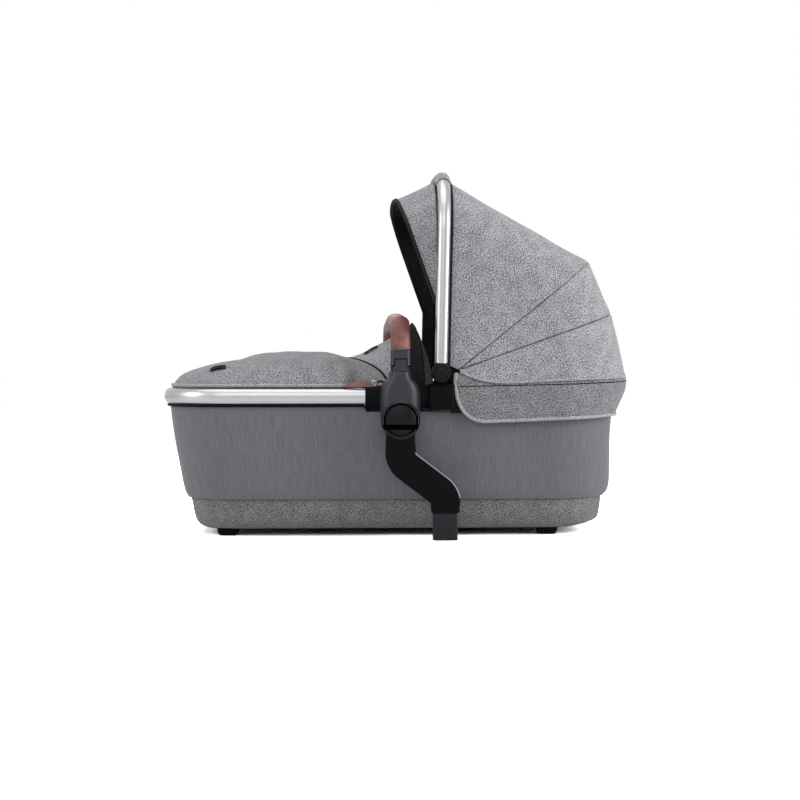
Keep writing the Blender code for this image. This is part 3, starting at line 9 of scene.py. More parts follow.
import bpy
from mathutils import Matrix, Vector, noise
from mathutils.kdtree import KDTree
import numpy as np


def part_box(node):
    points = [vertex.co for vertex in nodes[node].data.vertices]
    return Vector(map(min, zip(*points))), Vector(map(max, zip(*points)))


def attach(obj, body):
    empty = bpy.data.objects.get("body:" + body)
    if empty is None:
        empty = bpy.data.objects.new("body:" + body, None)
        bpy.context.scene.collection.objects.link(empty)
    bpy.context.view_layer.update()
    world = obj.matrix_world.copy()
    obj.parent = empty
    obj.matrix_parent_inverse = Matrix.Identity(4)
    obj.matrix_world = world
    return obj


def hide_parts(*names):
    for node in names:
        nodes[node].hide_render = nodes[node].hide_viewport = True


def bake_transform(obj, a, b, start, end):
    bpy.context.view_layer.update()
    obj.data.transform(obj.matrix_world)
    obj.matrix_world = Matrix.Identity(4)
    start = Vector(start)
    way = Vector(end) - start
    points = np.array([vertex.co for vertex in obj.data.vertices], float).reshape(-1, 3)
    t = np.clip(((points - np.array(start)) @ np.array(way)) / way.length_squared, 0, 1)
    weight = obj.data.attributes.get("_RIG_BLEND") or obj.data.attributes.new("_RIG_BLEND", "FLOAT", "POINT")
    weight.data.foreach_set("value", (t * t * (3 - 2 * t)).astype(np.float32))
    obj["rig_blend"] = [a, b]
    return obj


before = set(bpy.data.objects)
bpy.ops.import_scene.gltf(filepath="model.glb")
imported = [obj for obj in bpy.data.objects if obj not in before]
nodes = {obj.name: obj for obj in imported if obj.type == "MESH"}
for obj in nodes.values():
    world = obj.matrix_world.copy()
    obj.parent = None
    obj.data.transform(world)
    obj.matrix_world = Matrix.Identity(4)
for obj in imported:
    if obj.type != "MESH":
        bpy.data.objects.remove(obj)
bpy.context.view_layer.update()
print("frame loaded with", len(nodes), "nodes")

# %% [markdown]
# ## Working by hand, in code
# Every piece starts as a primitive and is shaped with edit mode's operators. An operator acts on all that is
# selected, so each helper clears the selection first. A finished piece keeps its place in its mesh.

# %% Selecting, naming and editing a piece
SIDES = (("right", -1.0), ("left", 1.0))
ORIGIN, X, Y = (0.0, 0.0, 0.0), (1.0, 0.0, 0.0), (0.0, 1.0, 0.0)
UP, DOWN = (0.0, 0.0, 1.0), (0.0, 0.0, -1.0)
PLASTIC, DARK, FLECKED = "black_plastic", "dark_fabric", "flecked_fabric"
SAME_PLACE = 0.00002
CLOTH_THICK, LINING_THICK, ROLLED_THICK = 0.0016, 0.0010, 0.0009


def clear_selection():
    if bpy.context.mode != "OBJECT":
        bpy.ops.object.mode_set(mode="OBJECT")
    bpy.ops.object.select_all(action="DESELECT")


def pick(piece):
    """Selects one piece alone, in object mode."""
    clear_selection()
    piece.select_set(True)
    bpy.context.view_layer.objects.active = piece


def name_new(name):
    """Names the piece that a primitive operator has just added."""
    piece = bpy.context.object
    piece.name = piece.data.name = name
    return piece


def edit(piece):
    """Opens a piece in edit mode with all of it selected."""
    pick(piece)
    bpy.ops.object.mode_set(mode="EDIT")
    bpy.ops.mesh.select_mode(type="VERT")
    bpy.ops.mesh.select_all(action="SELECT")


def modify(piece, kind, **settings):
    """Adds a modifier and applies it."""
    modifier = piece.modifiers.new(kind.title(), kind)
    for setting, value in settings.items():
        setattr(modifier, setting, value)
    pick(piece)
    bpy.ops.object.modifier_apply(modifier=modifier.name)


print("the frame's sides:", [side for side, _ in SIDES])

# %% [markdown]
# ## Finishing a piece
# A real part is never quite sharp: a mould or a file rounds its edges, and they catch the light. So doubled
# points are merged first, then the edges are rounded, and last the piece is dressed and joined to the body that
# it moves with, in the place of the frame's own nodes.

# %% Merging, rounding and dressing a piece
def merge_doubles(piece, face_out=True):
    """Merges doubled points and turns every face outwards."""
    edit(piece)
    bpy.ops.mesh.remove_doubles(threshold=SAME_PLACE)
    if face_out:
        bpy.ops.mesh.normals_make_consistent(inside=False)
    bpy.ops.object.mode_set(mode="OBJECT")


def smooth(piece, angle=35.0):
    pick(piece)
    bpy.ops.object.shade_smooth_by_angle(angle=math.radians(angle))


def round_edges(piece, width, segments=2, angle=50.0):
    """Rounds every sharp edge."""
    limit = math.radians(angle)
    modify(
        piece, "BEVEL", width=width, segments=segments, limit_method="ANGLE", angle_limit=limit, harden_normals=False
    )
    smooth(piece)


def dress(piece, finish, inner=None):
    """Gives a piece its finish, and its inner side another one."""
    slots = piece.data.materials
    for place, made in enumerate((finish, inner) if inner else (finish,)):
        if place < len(slots):
            slots[place] = made
        else:
            slots.append(made)


def join(piece, body, *covered):
    """Joins a piece to the body that it moves with, and hides the nodes whose place it takes."""
    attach(piece, body)
    if covered:
        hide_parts(*covered)


def fit(piece, finish, slot, body, *covered, inner=None):
    """Dresses a piece and joins it to its body."""
    dress(piece, finish, inner)
    join(piece, body, *covered)


def middle(node):
    low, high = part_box(node)
    return (low + high) / 2


print("middle of the right hub:", [round(c, 4) for c in middle("hub_cover_right")])

# %% [markdown]
# ## Outlines
# A tube's outline is an oval, and a moulded arm's is a rectangle with round corners. Both are lists of points
# around their own centre.

# %% Ovals and rounded rectangles
def oval(wide, tall, count=32):
    turns = [2 * math.pi * i / count for i in range(count)]
    return [(wide / 2 * math.cos(t), tall / 2 * math.sin(t)) for t in turns]


def arc(centre, radius, first, last, steps):
    """Points of an arc between two angles in degrees."""
    turns = [math.radians(first + (last - first) * i / steps) for i in range(steps + 1)]
    return [(centre[0] + radius * math.cos(t), centre[1] + radius * math.sin(t)) for t in turns]


def rounded(wide, tall, radius, steps=5):
    """A rectangle with round corners."""
    x, y = wide / 2 - radius, tall / 2 - radius
    corners = (((x, y), 0.0), ((-x, y), 90.0), ((-x, -y), 180.0), ((x, -y), 270.0))
    return [point for centre, first in corners for point in arc(centre, radius, first, first + 90.0, steps)]


print("points of an oval and of a rounded rectangle:", len(oval(0.02, 0.03)), len(rounded(0.03, 0.02, 0.004)))

# %% [markdown]
# ## Bent tubes
# A tube bender pushes a straight tube forward, bends it round a former, and pushes again. The helper below does
# the same to an outline: it extrudes it for each straight run and spins it for each bend.

# %% Sweep an outline along runs and bends
BEND_STEP = 5.0


def swept(name, outline, start, heading, across, path):
    """Sweeps an outline along a path. A length is a run, (degrees, radius, axis) is a bend, and (wide, tall)
    scales what follows."""
    at, heading, across = Vector(start), Vector(heading).normalized(), Vector(across).normalized()
    other = heading.cross(across)
    clear_selection()
    bpy.ops.mesh.primitive_circle_add(vertices=len(outline), radius=1.0, location=ORIGIN)
    piece = name_new(name)
    for vertex, (a, b) in zip(piece.data.vertices, outline):
        vertex.co = at + across * a + other * b
    edit(piece)
    for step in path:
        if isinstance(step, float):
            bpy.ops.mesh.extrude_region_move(TRANSFORM_OT_translate={"value": heading * step})
            at = at + heading * step
        elif len(step) == 2:
            scale = [1.0 + (step[0] - 1.0) * abs(a) + (step[1] - 1.0) * abs(b) for a, b in zip(across, other)]
            bpy.ops.transform.resize(value=scale, center_override=at)
        else:
            degrees, radius, axis = step[0], step[1], Vector(step[2])
            centre = at + axis.cross(heading) * radius
            steps = max(2, round(abs(degrees) / BEND_STEP))
            bpy.ops.mesh.spin(steps=steps, angle=-math.radians(degrees), center=centre, axis=axis)
            turn = Matrix.Rotation(math.radians(degrees), 3, axis)
            at, heading, across = centre + turn @ (at - centre), turn @ heading, turn @ across
            other = heading.cross(across)
    bpy.ops.mesh.edge_face_add()
    bpy.ops.mesh.select_all(action="DESELECT")
    bpy.ops.object.mode_set(mode="OBJECT")
    for vertex in piece.data.vertices[: len(outline)]:
        vertex.select = True
    bpy.ops.object.mode_set(mode="EDIT")
    bpy.ops.mesh.edge_face_add()
    merge_doubles(piece)
    smooth(piece)
    return piece


print("a bend of 90 degrees is spun in", round(90.0 / BEND_STEP), "steps")

# %% [markdown]
# ## Turned pieces
# Buttons, pins and caps are round about one line. A single point is extruded along half of the outline, as on
# a lathe drawing, and the outline is then spun all the way round.

# %% Spin a profile about a line
TURN_STEPS = 96


def turned(name, profile, centre, axis, steps=TURN_STEPS):
    """A profile of (radius, height) pairs, spun about an axis through a centre."""
    axis, centre = Vector(axis), Vector(centre)
    out = axis.orthogonal().normalized()
    places = [centre + out * radius + axis * height for radius, height in profile]
    clear_selection()
    bpy.ops.mesh.primitive_plane_add(size=0.01, location=ORIGIN)
    piece = name_new(name)
    edit(piece)
    bpy.ops.mesh.merge(type="CENTER")
    bpy.ops.transform.translate(value=places[0])
    for before, after in zip(places, places[1:]):
        bpy.ops.mesh.extrude_region_move(TRANSFORM_OT_translate={"value": after - before})
    bpy.ops.mesh.select_all(action="SELECT")
    bpy.ops.mesh.spin(steps=steps, angle=2 * math.pi, center=centre, axis=axis)
    merge_doubles(piece)
    smooth(piece)
    return piece


print("a turned piece is spun in", TURN_STEPS, "steps")

# %% [markdown]
# ## Sheets of cloth
# A sewn panel is a flat grid until it is stretched over the frame. The helper places each point of a grid by a
# function of two shares, and then measures the cloth: its UV map runs in metres along and across the panel, so
# that a weave keeps its size, and an attribute holds each point's distance from the nearest sewn edge. These
# lengths are read off the placed grid: they are an estimate, not a pattern's own size. Holding the mesh against
# it proves nothing about the cut.

# %% Place a grid and measure it
CLOTH_ANGLE = 60.0


def spread_to_edges(share):
    """Draws rows towards both edges, where a seam needs them."""
    return share + 0.75 * (0.5 - 0.5 * math.cos(math.pi * share) - share)


def cloth(name, columns, rows, place, sewn="lh", seams=(), edge_rows=False):
    """A panel of cloth. sewn names its sewn edges: l and h for the low and high rows, s and e for the start and
    end. seams are further seams across it, as shares of its length."""
    clear_selection()
    bpy.ops.mesh.primitive_grid_add(x_subdivisions=columns, y_subdivisions=rows, size=1.0, location=ORIGIN)
    piece = name_new(name)
    mesh = piece.data
    spots = [(round((v.co.x + 0.5) * columns), round((v.co.y + 0.5) * rows)) for v in mesh.vertices]
    points = {}
    for vertex, (i, j) in zip(mesh.vertices, spots):
        v = j / rows
        points[i, j] = vertex.co = Vector(place(i / columns, spread_to_edges(v) if edge_rows else v))
    half = rows // 2
    along, across = [0.0], {}
    for i in range(columns):
        along.append(along[-1] + (points[i + 1, half] - points[i, half]).length)
    for i in range(columns + 1):
        across[i, 0] = 0.0
        for j in range(rows):
            across[i, j + 1] = across[i, j] + (points[i, j + 1] - points[i, j]).length
    uvs = mesh.uv_layers.active.data
    for loop in mesh.loops:
        i, j = spots[loop.vertex_index]
        uvs[loop.index].uv = (along[i], across[i, j] - across[i, half])
    seam_places = [along[round(at * columns)] for at in seams]
    for kept in ("seam_distance", "panel_share"):
        mesh.attributes.new(kept, "FLOAT", "POINT")
    seam, share = mesh.attributes["seam_distance"], mesh.attributes["panel_share"]
    for k, (i, j) in enumerate(spots):
        low, high = across[i, j], across[i, rows] - across[i, j]
        far = {"l": low, "h": high, "s": along[i], "e": along[-1] - along[i]}
        nearest = [far[edge] for edge in sewn] + [abs(along[i] - at) for at in seam_places]
        seam.data[k].value = min(nearest, default=1.0)
        share.data[k].value = j / rows
    mesh.update()
    smooth(piece, CLOTH_ANGLE)
    return piece


print("a row a quarter of the way moves to", round(spread_to_edges(0.25), 3), "of the width")

# %% [markdown]
# Cloth is thin but not without thickness: its edge shows, and its inner side may be a lining. A sheet is
# thickened after it is measured, so that its UV map belongs to one face of the cloth.

# %% Thicken and fit a sheet
def thicken(piece, thickness, offset=-1.0, lined=False):
    """Gives a sheet its thickness; a lined one gets the next finish on its inner side."""
    if lined:
        piece.data.materials.append(None)
        piece.data.materials.append(None)
    modify(
        piece, "SOLIDIFY", thickness=thickness, offset=offset, use_even_offset=False, material_offset=int(lined),
        material_offset_rim=0,
    )
    smooth(piece, CLOTH_ANGLE)
    if offset > -1.0:
        merge_doubles(piece)


def sewn_sheet(piece, thickness, finish, slot, body, *covered, on, held="stretched", offset=-1.0, inner=None):
    """Thickens a sheet and fits it to its body. The on argument, for what it rests on, is not used."""
    thicken(piece, thickness, offset, lined=bool(inner))
    fit(piece, finish, slot, body, *covered, inner=inner)


def crease(x, y, z, size, amount):
    """A soft, uneven lift, the same on every run."""
    return noise.noise(Vector((x / size, y / size, z / size))) * amount


print("a crease of 1 mm at one place:", round(crease(0.1, 0.2, 0.3, 0.07, 0.001), 6))

# %% [markdown]
# ## Cords
# Piping is a round cord sewn along an edge: a curve through points, made a mesh. Like a sheet it has its UV map
# in metres, along and round the cord, and it lies clear of the marks of a seam.

# %% Make a cord and measure it
FAR_FROM_SEAM = 1.0


def corded(name, points, radius, sides=3):
    clear_selection()
    curve = bpy.data.curves.new(name, "CURVE")
    curve.dimensions = "3D"
    curve.bevel_depth = radius
    curve.bevel_resolution = sides
    curve.use_fill_caps = True
    spline = curve.splines.new("POLY")
    spline.points.add(len(points) - 1)
    for point, at in zip(spline.points, points):
        point.co = (*at, 1.0)
    piece = bpy.data.objects.new(name, curve)
    bpy.context.scene.collection.objects.link(piece)
    pick(piece)
    bpy.ops.object.convert(target="MESH")
    piece = bpy.context.object
    merge_doubles(piece)
    smooth(piece, CLOTH_ANGLE)
    measure_cord(piece.data, points)
    return piece


def measure_cord(mesh, points):
    """Lays a UV map in metres along and round a cord, and marks it as clear of seams."""
    nearest = KDTree(len(points))
    run = []
    for i, at in enumerate(points):
        run.append(run[-1] + (at - points[i - 1]).length if i else 0.0)
        nearest.insert(at, i)
    nearest.balance()
    spots = []
    for vertex in mesh.vertices:
        at, i, _ = nearest.find(vertex.co)
        spots.append((run[i], vertex.co.z - at.z + abs(vertex.co.y) - abs(at.y)))
    layer = mesh.uv_layers.active or mesh.uv_layers.new(name="UVMap")
    for loop in mesh.loops:
        layer.data[loop.index].uv = spots[loop.vertex_index]
    seam = mesh.attributes.new("seam_distance", "FLOAT", "POINT")
    seam.data.foreach_set("value", [FAR_FROM_SEAM] * len(mesh.vertices))


print("a cord counts as", FAR_FROM_SEAM, "m from any seam")

# %% [markdown]
# ## Finishes
# Each finish is a small net of shader nodes. One helper adds a node, sets it, and joins or sets its inputs. The
# others are the few nets that every finish uses: sums, a range, a colour ramp, stretched noise and a relief.

# %% Add a shader node
def add_node(tree, kind, inputs=None, **settings):
    """Adds a node; each input is given a value or another node's output."""
    made = tree.nodes.new(kind)
    for setting, value in settings.items():
        setattr(made, setting, value)
    for socket, value in (inputs or {}).items():
        if isinstance(value, bpy.types.NodeSocket):
            tree.links.new(value, made.inputs[socket])
        else:
            made.inputs[socket].default_value = value
    return made


def maths(tree, operation, first, second=0.0, third=0.0):
    return add_node(tree, "ShaderNodeMath", {0: first, 1: second, 2: third}, operation=operation).outputs[0]


def varied(tree, fleck, amount, level=1.0):
    """A level raised and lowered by a noise."""
    return maths(tree, "MULTIPLY_ADD", maths(tree, "SUBTRACT", fleck, 0.5), amount, level)


def layered(tree, level, *layers):
    """Adds to a level each further one, by its weight."""
    for layer, weight in layers:
        level = maths(tree, "MULTIPLY_ADD", layer, weight, level)
    return level


def ranged(tree, value, low, high, top=1.0, kind="SMOOTHSTEP"):
    inputs = {"Value": value, "From Min": low, "From Max": high, "To Min": 0.0, "To Max": top}
    return add_node(tree, "ShaderNodeMapRange", inputs, interpolation_type=kind).outputs[0]


def ramp(tree, value, *stops):
    """A colour ramp; each stop is a position and a colour."""
    node = add_node(tree, "ShaderNodeValToRGB", {0: value})
    elements = node.color_ramp.elements
    while len(elements) < len(stops):
        elements.new(0.5)
    for element, (position, colour) in zip(elements, stops):
        element.position = position
        element.color = (*colour, 1.0)
    return node.outputs[0]


def stretched_noise(tree, vector, scale, detail=3.0, roughness=0.55):
    """Noise whose cells are long or wide: the scale is cells per metre along each axis, or along all."""
    scale = scale if isinstance(scale, tuple) else (scale, scale, scale)
    place = add_node(tree, "ShaderNodeMapping", {"Vector": vector, "Scale": scale}).outputs[0]
    inputs = {"Vector": place, "Scale": 1.0, "Detail": detail, "Roughness": roughness}
    return add_node(tree, "ShaderNodeTexNoise", inputs).outputs[0]


def finish_of(name, **inputs):
    """A new material with its Principled shader, whose inputs are named with _ for each space."""
    made = bpy.data.materials.new(name)
    made.use_nodes = True
    shader = made.node_tree.nodes["Principled BSDF"]
    for socket, value in inputs.items():
        shader.inputs[socket.replace("_", " ")].default_value = value
    return made, made.node_tree, shader


def scaled(tree, vector, scale):
    return add_node(tree, "ShaderNodeVectorMath", {0: vector, "Scale": scale}, operation="SCALE").outputs[0]


def paint(tree, shader, colour, level, rough=None):
    """Lays a colour on a shader, darker or lighter by a level, and sets how rough it is."""
    tree.links.new(scaled(tree, colour, level), shader.inputs["Base Color"])
    if rough:
        tree.links.new(rough, shader.inputs["Roughness"])


def bumped(tree, shader, height, distance, strength=1.0):
    """Gives a shader a relief from a height."""
    bump = add_node(tree, "ShaderNodeBump", {"Height": height, "Distance": distance, "Strength": strength})
    tree.links.new(bump.outputs[0], shader.inputs["Normal"])


print("materials that came with the frame:", len(bpy.data.materials))

# %% [markdown]
# ## Woven cloth
# The hood, the apron and the lower wall are a heather cloth: pale and dark yarns are spun together, so each
# thread shows short flecks along its own way. Two noises are stretched, one along the warp and one along the
# weft, and a colour ramp turns them into dark, middle and pale yarn. The UV map is in metres, so the flecks are
# two or three millimetres long on every panel. Near a sewn edge the cloth dips, and its colour is darkened there
# as painted shade; a line of stitches runs beside it. Both come from the distance that each panel carries.
# The apron's and the skirt's copies of the cloth are darker, as painted shade.

# %% A woven cloth with flecks, seams and stitches
FLECK = (320.0, 720.0)
YARN_SPREAD = 0.080


def seam_marks(tree, uv, dip_wide, stitch, line_at, line_wide):
    """The dip at a sewn edge, used for relief and for painted shade, and the stitches beside it."""
    seam = add_node(tree, "ShaderNodeAttribute", attribute_name="seam_distance").outputs["Fac"]
    split = add_node(tree, "ShaderNodeSeparateXYZ", {0: uv})
    step = maths(tree, "FRACT", maths(tree, "MULTIPLY", split.outputs[0], 1.0 / stitch))
    line = maths(tree, "COMPARE", seam, line_at, line_wide)
    return ranged(tree, seam, 0.0, dip_wide), maths(tree, "MULTIPLY", maths(tree, "GREATER_THAN", step, 0.3), line)


def woven(name, dark, middle, light, pitch=0.0009, cloudy=0.18, sheen=0.15, gloss=0.25):
    """Cloth in three yarn colours."""
    made, tree, shader = finish_of(
        name, Roughness=0.92, Sheen_Weight=sheen, Sheen_Roughness=0.5, Specular_IOR_Level=gloss
    )
    uv = add_node(tree, "ShaderNodeUVMap").outputs[0]
    warp = stretched_noise(tree, uv, (FLECK[0], FLECK[1], 1.0), 3.0, 0.65)
    weft = stretched_noise(tree, uv, (FLECK[1], FLECK[0], 1.0), 3.0, 0.65)
    yarn = maths(tree, "ADD", maths(tree, "SUBTRACT", warp, weft), 0.5)
    yarn = varied(tree, stretched_noise(tree, uv, (42.0, 42.0, 1.0), 4.0), cloudy, yarn)
    colour = ramp(tree, yarn, (0.5 - YARN_SPREAD, dark), (0.5, middle), (0.5 + YARN_SPREAD, light))
    threads = {"Vector": uv, "Scale": 0.314 / pitch, "Distortion": 0.4}
    along, across = (add_node(tree, "ShaderNodeTexWave", threads, bands_direction=way).outputs["Fac"] for way in "XY")
    seam_dip_and_shade, stitch = seam_marks(tree, uv, 0.0016, 0.0042, 0.0036, 0.00045)
    # the colour darkens near a sewn edge: painted shade in the seam's dip, besides its relief
    paint(tree, shader, colour, layered(tree, 0.28, (seam_dip_and_shade, 0.72), (stitch, 0.22)))
    weave = maths(tree, "MULTIPLY", maths(tree, "MAXIMUM", along, across), 0.25)
    bumped(tree, shader, layered(tree, weave, (yarn, 0.8), (seam_dip_and_shade, 2.5), (stitch, 0.7)), 0.0005)
    return made


heather = woven("heather_cloth", (0.105, 0.103, 0.110), (0.265, 0.262, 0.277), (0.50, 0.50, 0.52))
heather_low = woven("lower_heather_cloth", (0.062, 0.058, 0.058), (0.152, 0.145, 0.147), (0.29, 0.28, 0.284))
# the apron's cloth is the hood's heather made darker, as painted shade
heather_apron_painted_shade = woven("apron_painted_shade_cloth", (0.088, 0.086, 0.092), (0.225, 0.222, 0.235), (0.43, 0.43, 0.447))
# the skirt's cloth is the hood's heather made darker: painted shade, as the skirt faces down
heather_skirt_painted_shade = woven("skirt_painted_shade_cloth", (0.068, 0.066, 0.071), (0.175, 0.172, 0.182), (0.345, 0.345, 0.36))
heather_pale = woven("pale_heather_cloth", (0.22, 0.22, 0.228), (0.33, 0.33, 0.342), (0.47, 0.47, 0.483))
# a near-black copy of the heather, painted as the hood's shade
heather_painted_shade = woven("shaded_heather_cloth", (0.024, 0.023, 0.025), (0.060, 0.058, 0.062), (0.13, 0.13, 0.135))
lining = woven(
    "dark_lining", (0.006, 0.006, 0.0065), (0.014, 0.014, 0.0148), (0.036, 0.036, 0.038), cloudy=0.08, sheen=0.05,
    gloss=0.10,
)
webbing = woven(
    "black_webbing", (0.003, 0.003, 0.0035), (0.006, 0.006, 0.007), (0.015, 0.015, 0.017), pitch=0.0014, sheen=0.03,
    gloss=0.12,
)
cotton = woven("quilted_cotton", (0.38, 0.38, 0.395), (0.47, 0.47, 0.49), (0.54, 0.54, 0.56), pitch=0.0007)
print("woven cloths:", heather.name, heather_low.name, lining.name, webbing.name, cotton.name)

# %% [markdown]
# ## Smooth wall cloth
# The wall below the rim is a denser, plain cloth with fine upright slubs: thin streaks a little paler or darker
# than the rest. One noise is stretched far along the upright threads.

# %% A plain cloth with upright slubs
STREAK = 0.30


def plain_cloth(name, colour):
    made, tree, shader = finish_of(
        name, Roughness=0.82, Sheen_Weight=0.2, Sheen_Roughness=0.45, Specular_IOR_Level=0.3
    )
    uv = add_node(tree, "ShaderNodeUVMap").outputs[0]
    slub = stretched_noise(tree, uv, (520.0, 26.0, 1.0), 3.0, 0.6)
    thread = stretched_noise(tree, uv, (230.0, 900.0, 1.0), 2.0, 0.5)
    cloud = stretched_noise(tree, uv, (9.0, 6.0, 1.0), 2.0)
    level = varied(tree, thread, STREAK * 1.6, varied(tree, slub, STREAK * 3.0))
    level = varied(tree, cloud, 0.22, level)
    seam_dip_and_shade, stitch = seam_marks(tree, uv, 0.0018, 0.004, 0.0042, 0.0005)
    # the colour darkens to half near a sewn edge: painted shade in the seam's dip
    level = maths(tree, "MULTIPLY", level, layered(tree, 0.5, (seam_dip_and_shade, 0.5)))
    paint(tree, shader, colour, layered(tree, level, (stitch, 0.18)))
    relief = layered(tree, maths(tree, "MULTIPLY", thread, 0.5), (slub, 0.5), (seam_dip_and_shade, 2.0), (stitch, 0.6))
    bumped(tree, shader, relief, 0.0004)
    return made


wall_cloth = plain_cloth("grey_wall_cloth", (0.133, 0.130, 0.142))
print("plain cloth:", wall_cloth.name)

# %% [markdown]
# ## Metal, plastic and leather
# The tubes are bead-blasted and anodised aluminium: bright, a little rough, with a fine drawn grain. The hubs
# and arms are moulded plastic with a fine spark-eroded grain, its edges rubbed a little paler. The grip is
# brown leather with round pebbles, darker in its creases and paler where hands have rubbed it.

# %% Aluminium, plastic, leather, steel and board
def metal(name, colour, roughness, grain):
    made, tree, shader = finish_of(name, Roughness=roughness, Metallic=1.0)
    place = add_node(tree, "ShaderNodeTexCoord").outputs["Object"]
    fine = stretched_noise(tree, place, grain)
    level = varied(tree, stretched_noise(tree, place, 14.0, 2.0), 0.12)
    paint(tree, shader, colour, level, layered(tree, roughness - 0.07, (fine, 0.14)))
    bumped(tree, shader, fine, 0.00005, 0.5)
    return made


def moulded(name, colour, roughness, grain=1500.0, relief=0.00012, wear=0.35, shine=0.5):
    made, tree, shader = finish_of(name, Roughness=roughness, Specular_IOR_Level=shine)
    place = add_node(tree, "ShaderNodeTexCoord").outputs["Object"]
    patch = stretched_noise(tree, place, 40.0, 4.0)
    edge = add_node(tree, "ShaderNodeNewGeometry").outputs["Pointiness"]
    level = maths(tree, "ADD", varied(tree, patch, 0.3), ranged(tree, edge, 0.51, 0.58, wear, "LINEAR"))
    paint(tree, shader, colour, level, layered(tree, roughness - 0.08, (patch, 0.16)))
    bumped(tree, shader, stretched_noise(tree, place, grain, 2.0), relief, 0.6)
    return made


def leather_finish(name):
    made, tree, shader = finish_of(name, Roughness=0.42)
    place = add_node(tree, "ShaderNodeTexCoord").outputs["Object"]
    bent = scaled(tree, stretched_noise(tree, place, 300.0, 2.0), 0.0006)
    shifted = add_node(tree, "ShaderNodeVectorMath", {0: place, 1: bent}, operation="ADD").outputs[0]
    pebbles = {"Vector": shifted, "Scale": 620.0}
    pebble = add_node(tree, "ShaderNodeTexVoronoi", pebbles, feature="DISTANCE_TO_EDGE").outputs["Distance"]
    crease_share = ranged(tree, pebble, 0.0, 0.16)
    patch = stretched_noise(tree, place, 34.0, 4.0)
    shades = ((0.35, (0.115, 0.029, 0.021)), (0.5, (0.182, 0.056, 0.042)), (0.66, (0.285, 0.106, 0.083)))
    level = layered(tree, 0.65, (crease_share, 0.35))
    paint(tree, shader, ramp(tree, patch, *shades), level, layered(tree, 0.34, (patch, 0.2)))
    bumped(tree, shader, crease_share, 0.00018, 0.8)
    return made


aluminium = metal("anodised_aluminium", (0.40, 0.40, 0.406), 0.34, (160.0, 2600.0, 2600.0))
steel = metal("spring_steel", (0.45, 0.45, 0.46), 0.35, 900.0)
hub_plastic = moulded("hub_plastic", (0.0150, 0.0176, 0.0212), 0.42, shine=0.32)
arm_plastic = moulded("arm_plastic", (0.0025, 0.0033, 0.0042), 0.5, wear=0.2, shine=0.045)
gloss_plastic = moulded("button_plastic", (0.0024, 0.0032, 0.0038), 0.38, relief=0.00004, shine=0.13)
plug_plastic = moulded("plug_plastic", (0.0088, 0.0104, 0.0124), 0.45, shine=0.18)
# near black for cut faces and grooves: painted shade in recesses
painted_shade_plastic = moulded("painted_shade_black", (0.0006, 0.0007, 0.0008), 0.7, wear=0.0, shine=0.02)
# pale grey for the line down each arm's edge: a painted highlight
painted_highlight_plastic = moulded("painted_highlight_edge", (0.30, 0.31, 0.32), 0.3, relief=0.00003, wear=0.0)
leather = leather_finish("brown_leather")
board_finish = moulded("pressed_board", (0.32, 0.24, 0.16), 0.8, 500.0, 0.0002, 0.0)
print("hard finishes:", aluminium.name, hub_plastic.name, arm_plastic.name, leather.name)

# %% [markdown]
# ## Camera, light and floor
# The photograph was taken from the right side, a little above the rim and far away, so the lens is long. The
# camera stands there first, because every piece is judged through it.

# %% Place the camera
def stand(kind, name, place):
    """A camera or lamp at a place."""
    thing = bpy.data.objects.new(name, kind)
    thing.location = place
    bpy.context.scene.collection.objects.link(thing)
    return thing


lens = bpy.data.cameras.new("photo_camera")
lens.sensor_width = 36.0
lens.lens = 68.4
lens.clip_end = 50.0
camera = stand(lens, "photo_camera", (-0.1159, -2.9, 0.3198))
camera.rotation_euler = [math.radians(turn) for turn in (90.0 - 1.53, 0.0, -2.4)]
bpy.context.scene.camera = camera
bpy.context.scene.view_settings.view_transform = "Standard"
print("camera", camera.location[:], "lens", lens.lens)

# %% [markdown]
# Large soft lamps stand above, at both ends, behind the camera and behind the carrycot, as in a studio with
# white walls. The world is a weak even light, and pure white only for what the camera, metal and clear things
# see. The floor does the same, and keeps the carrycot's shadow because it is still a lit surface. Metal sees only
# a part of that white floor, because its near side lies in the carrycot's own shade.

# %% Lamps, world and floor
FLOOR_IN_METAL = 0.2
WHITE = (1.0, 1.0, 1.0, 1.0)


def seen_directly(tree, shiny_share=1.0):
    """1 for what the camera sees, also through clear things, and a share for what shiny things mirror."""
    path = add_node(tree, "ShaderNodeLightPath").outputs
    direct = maths(tree, "MAXIMUM", path["Is Camera Ray"], path["Is Transmission Ray"])
    return maths(tree, "MAXIMUM", direct, maths(tree, "MULTIPLY", path["Is Glossy Ray"], shiny_share))


for name, place, aim, wide, tall, power in (
    ("top_lamp", (-0.3, -0.4, 2.4), (0.0, 0.0, 0.2), 2.4, 1.8, 24.0),
    ("camera_lamp", (-0.6, -2.9, 1.7), (0.0, 0.0, 0.25), 2.0, 1.4, 17.0),
    ("head_lamp", (2.2, -0.9, 0.9), (0.2, 0.0, 0.25), 1.0, 1.2, 36.0),
    ("foot_lamp", (-2.2, -0.9, 1.0), (-0.2, 0.0, 0.25), 1.0, 1.2, 17.0),
    ("back_lamp", (0.3, 2.4, 1.6), (0.0, 0.0, 0.3), 1.8, 1.2, 12.0),
):
    lamp = bpy.data.lights.new(name, "AREA")
    lamp.shape = "RECTANGLE"
    lamp.size, lamp.size_y, lamp.energy = wide, tall, power
    stand(lamp, name, place).rotation_euler = (Vector(aim) - Vector(place)).to_track_quat("-Z", "Y").to_euler()

world = bpy.data.worlds.new("studio")
world.use_nodes = True
bpy.context.scene.world = world
tree = world.node_tree
tree.nodes.clear()
soft = add_node(tree, "ShaderNodeBackground", {"Color": (0.96, 0.97, 1.0, 1.0), "Strength": 0.36})
white = add_node(tree, "ShaderNodeBackground", {"Color": WHITE, "Strength": 1.0})
mixed = add_node(tree, "ShaderNodeMixShader", {0: seen_directly(tree), 1: soft.outputs[0], 2: white.outputs[0]})
add_node(tree, "ShaderNodeOutputWorld", {0: mixed.outputs[0]})

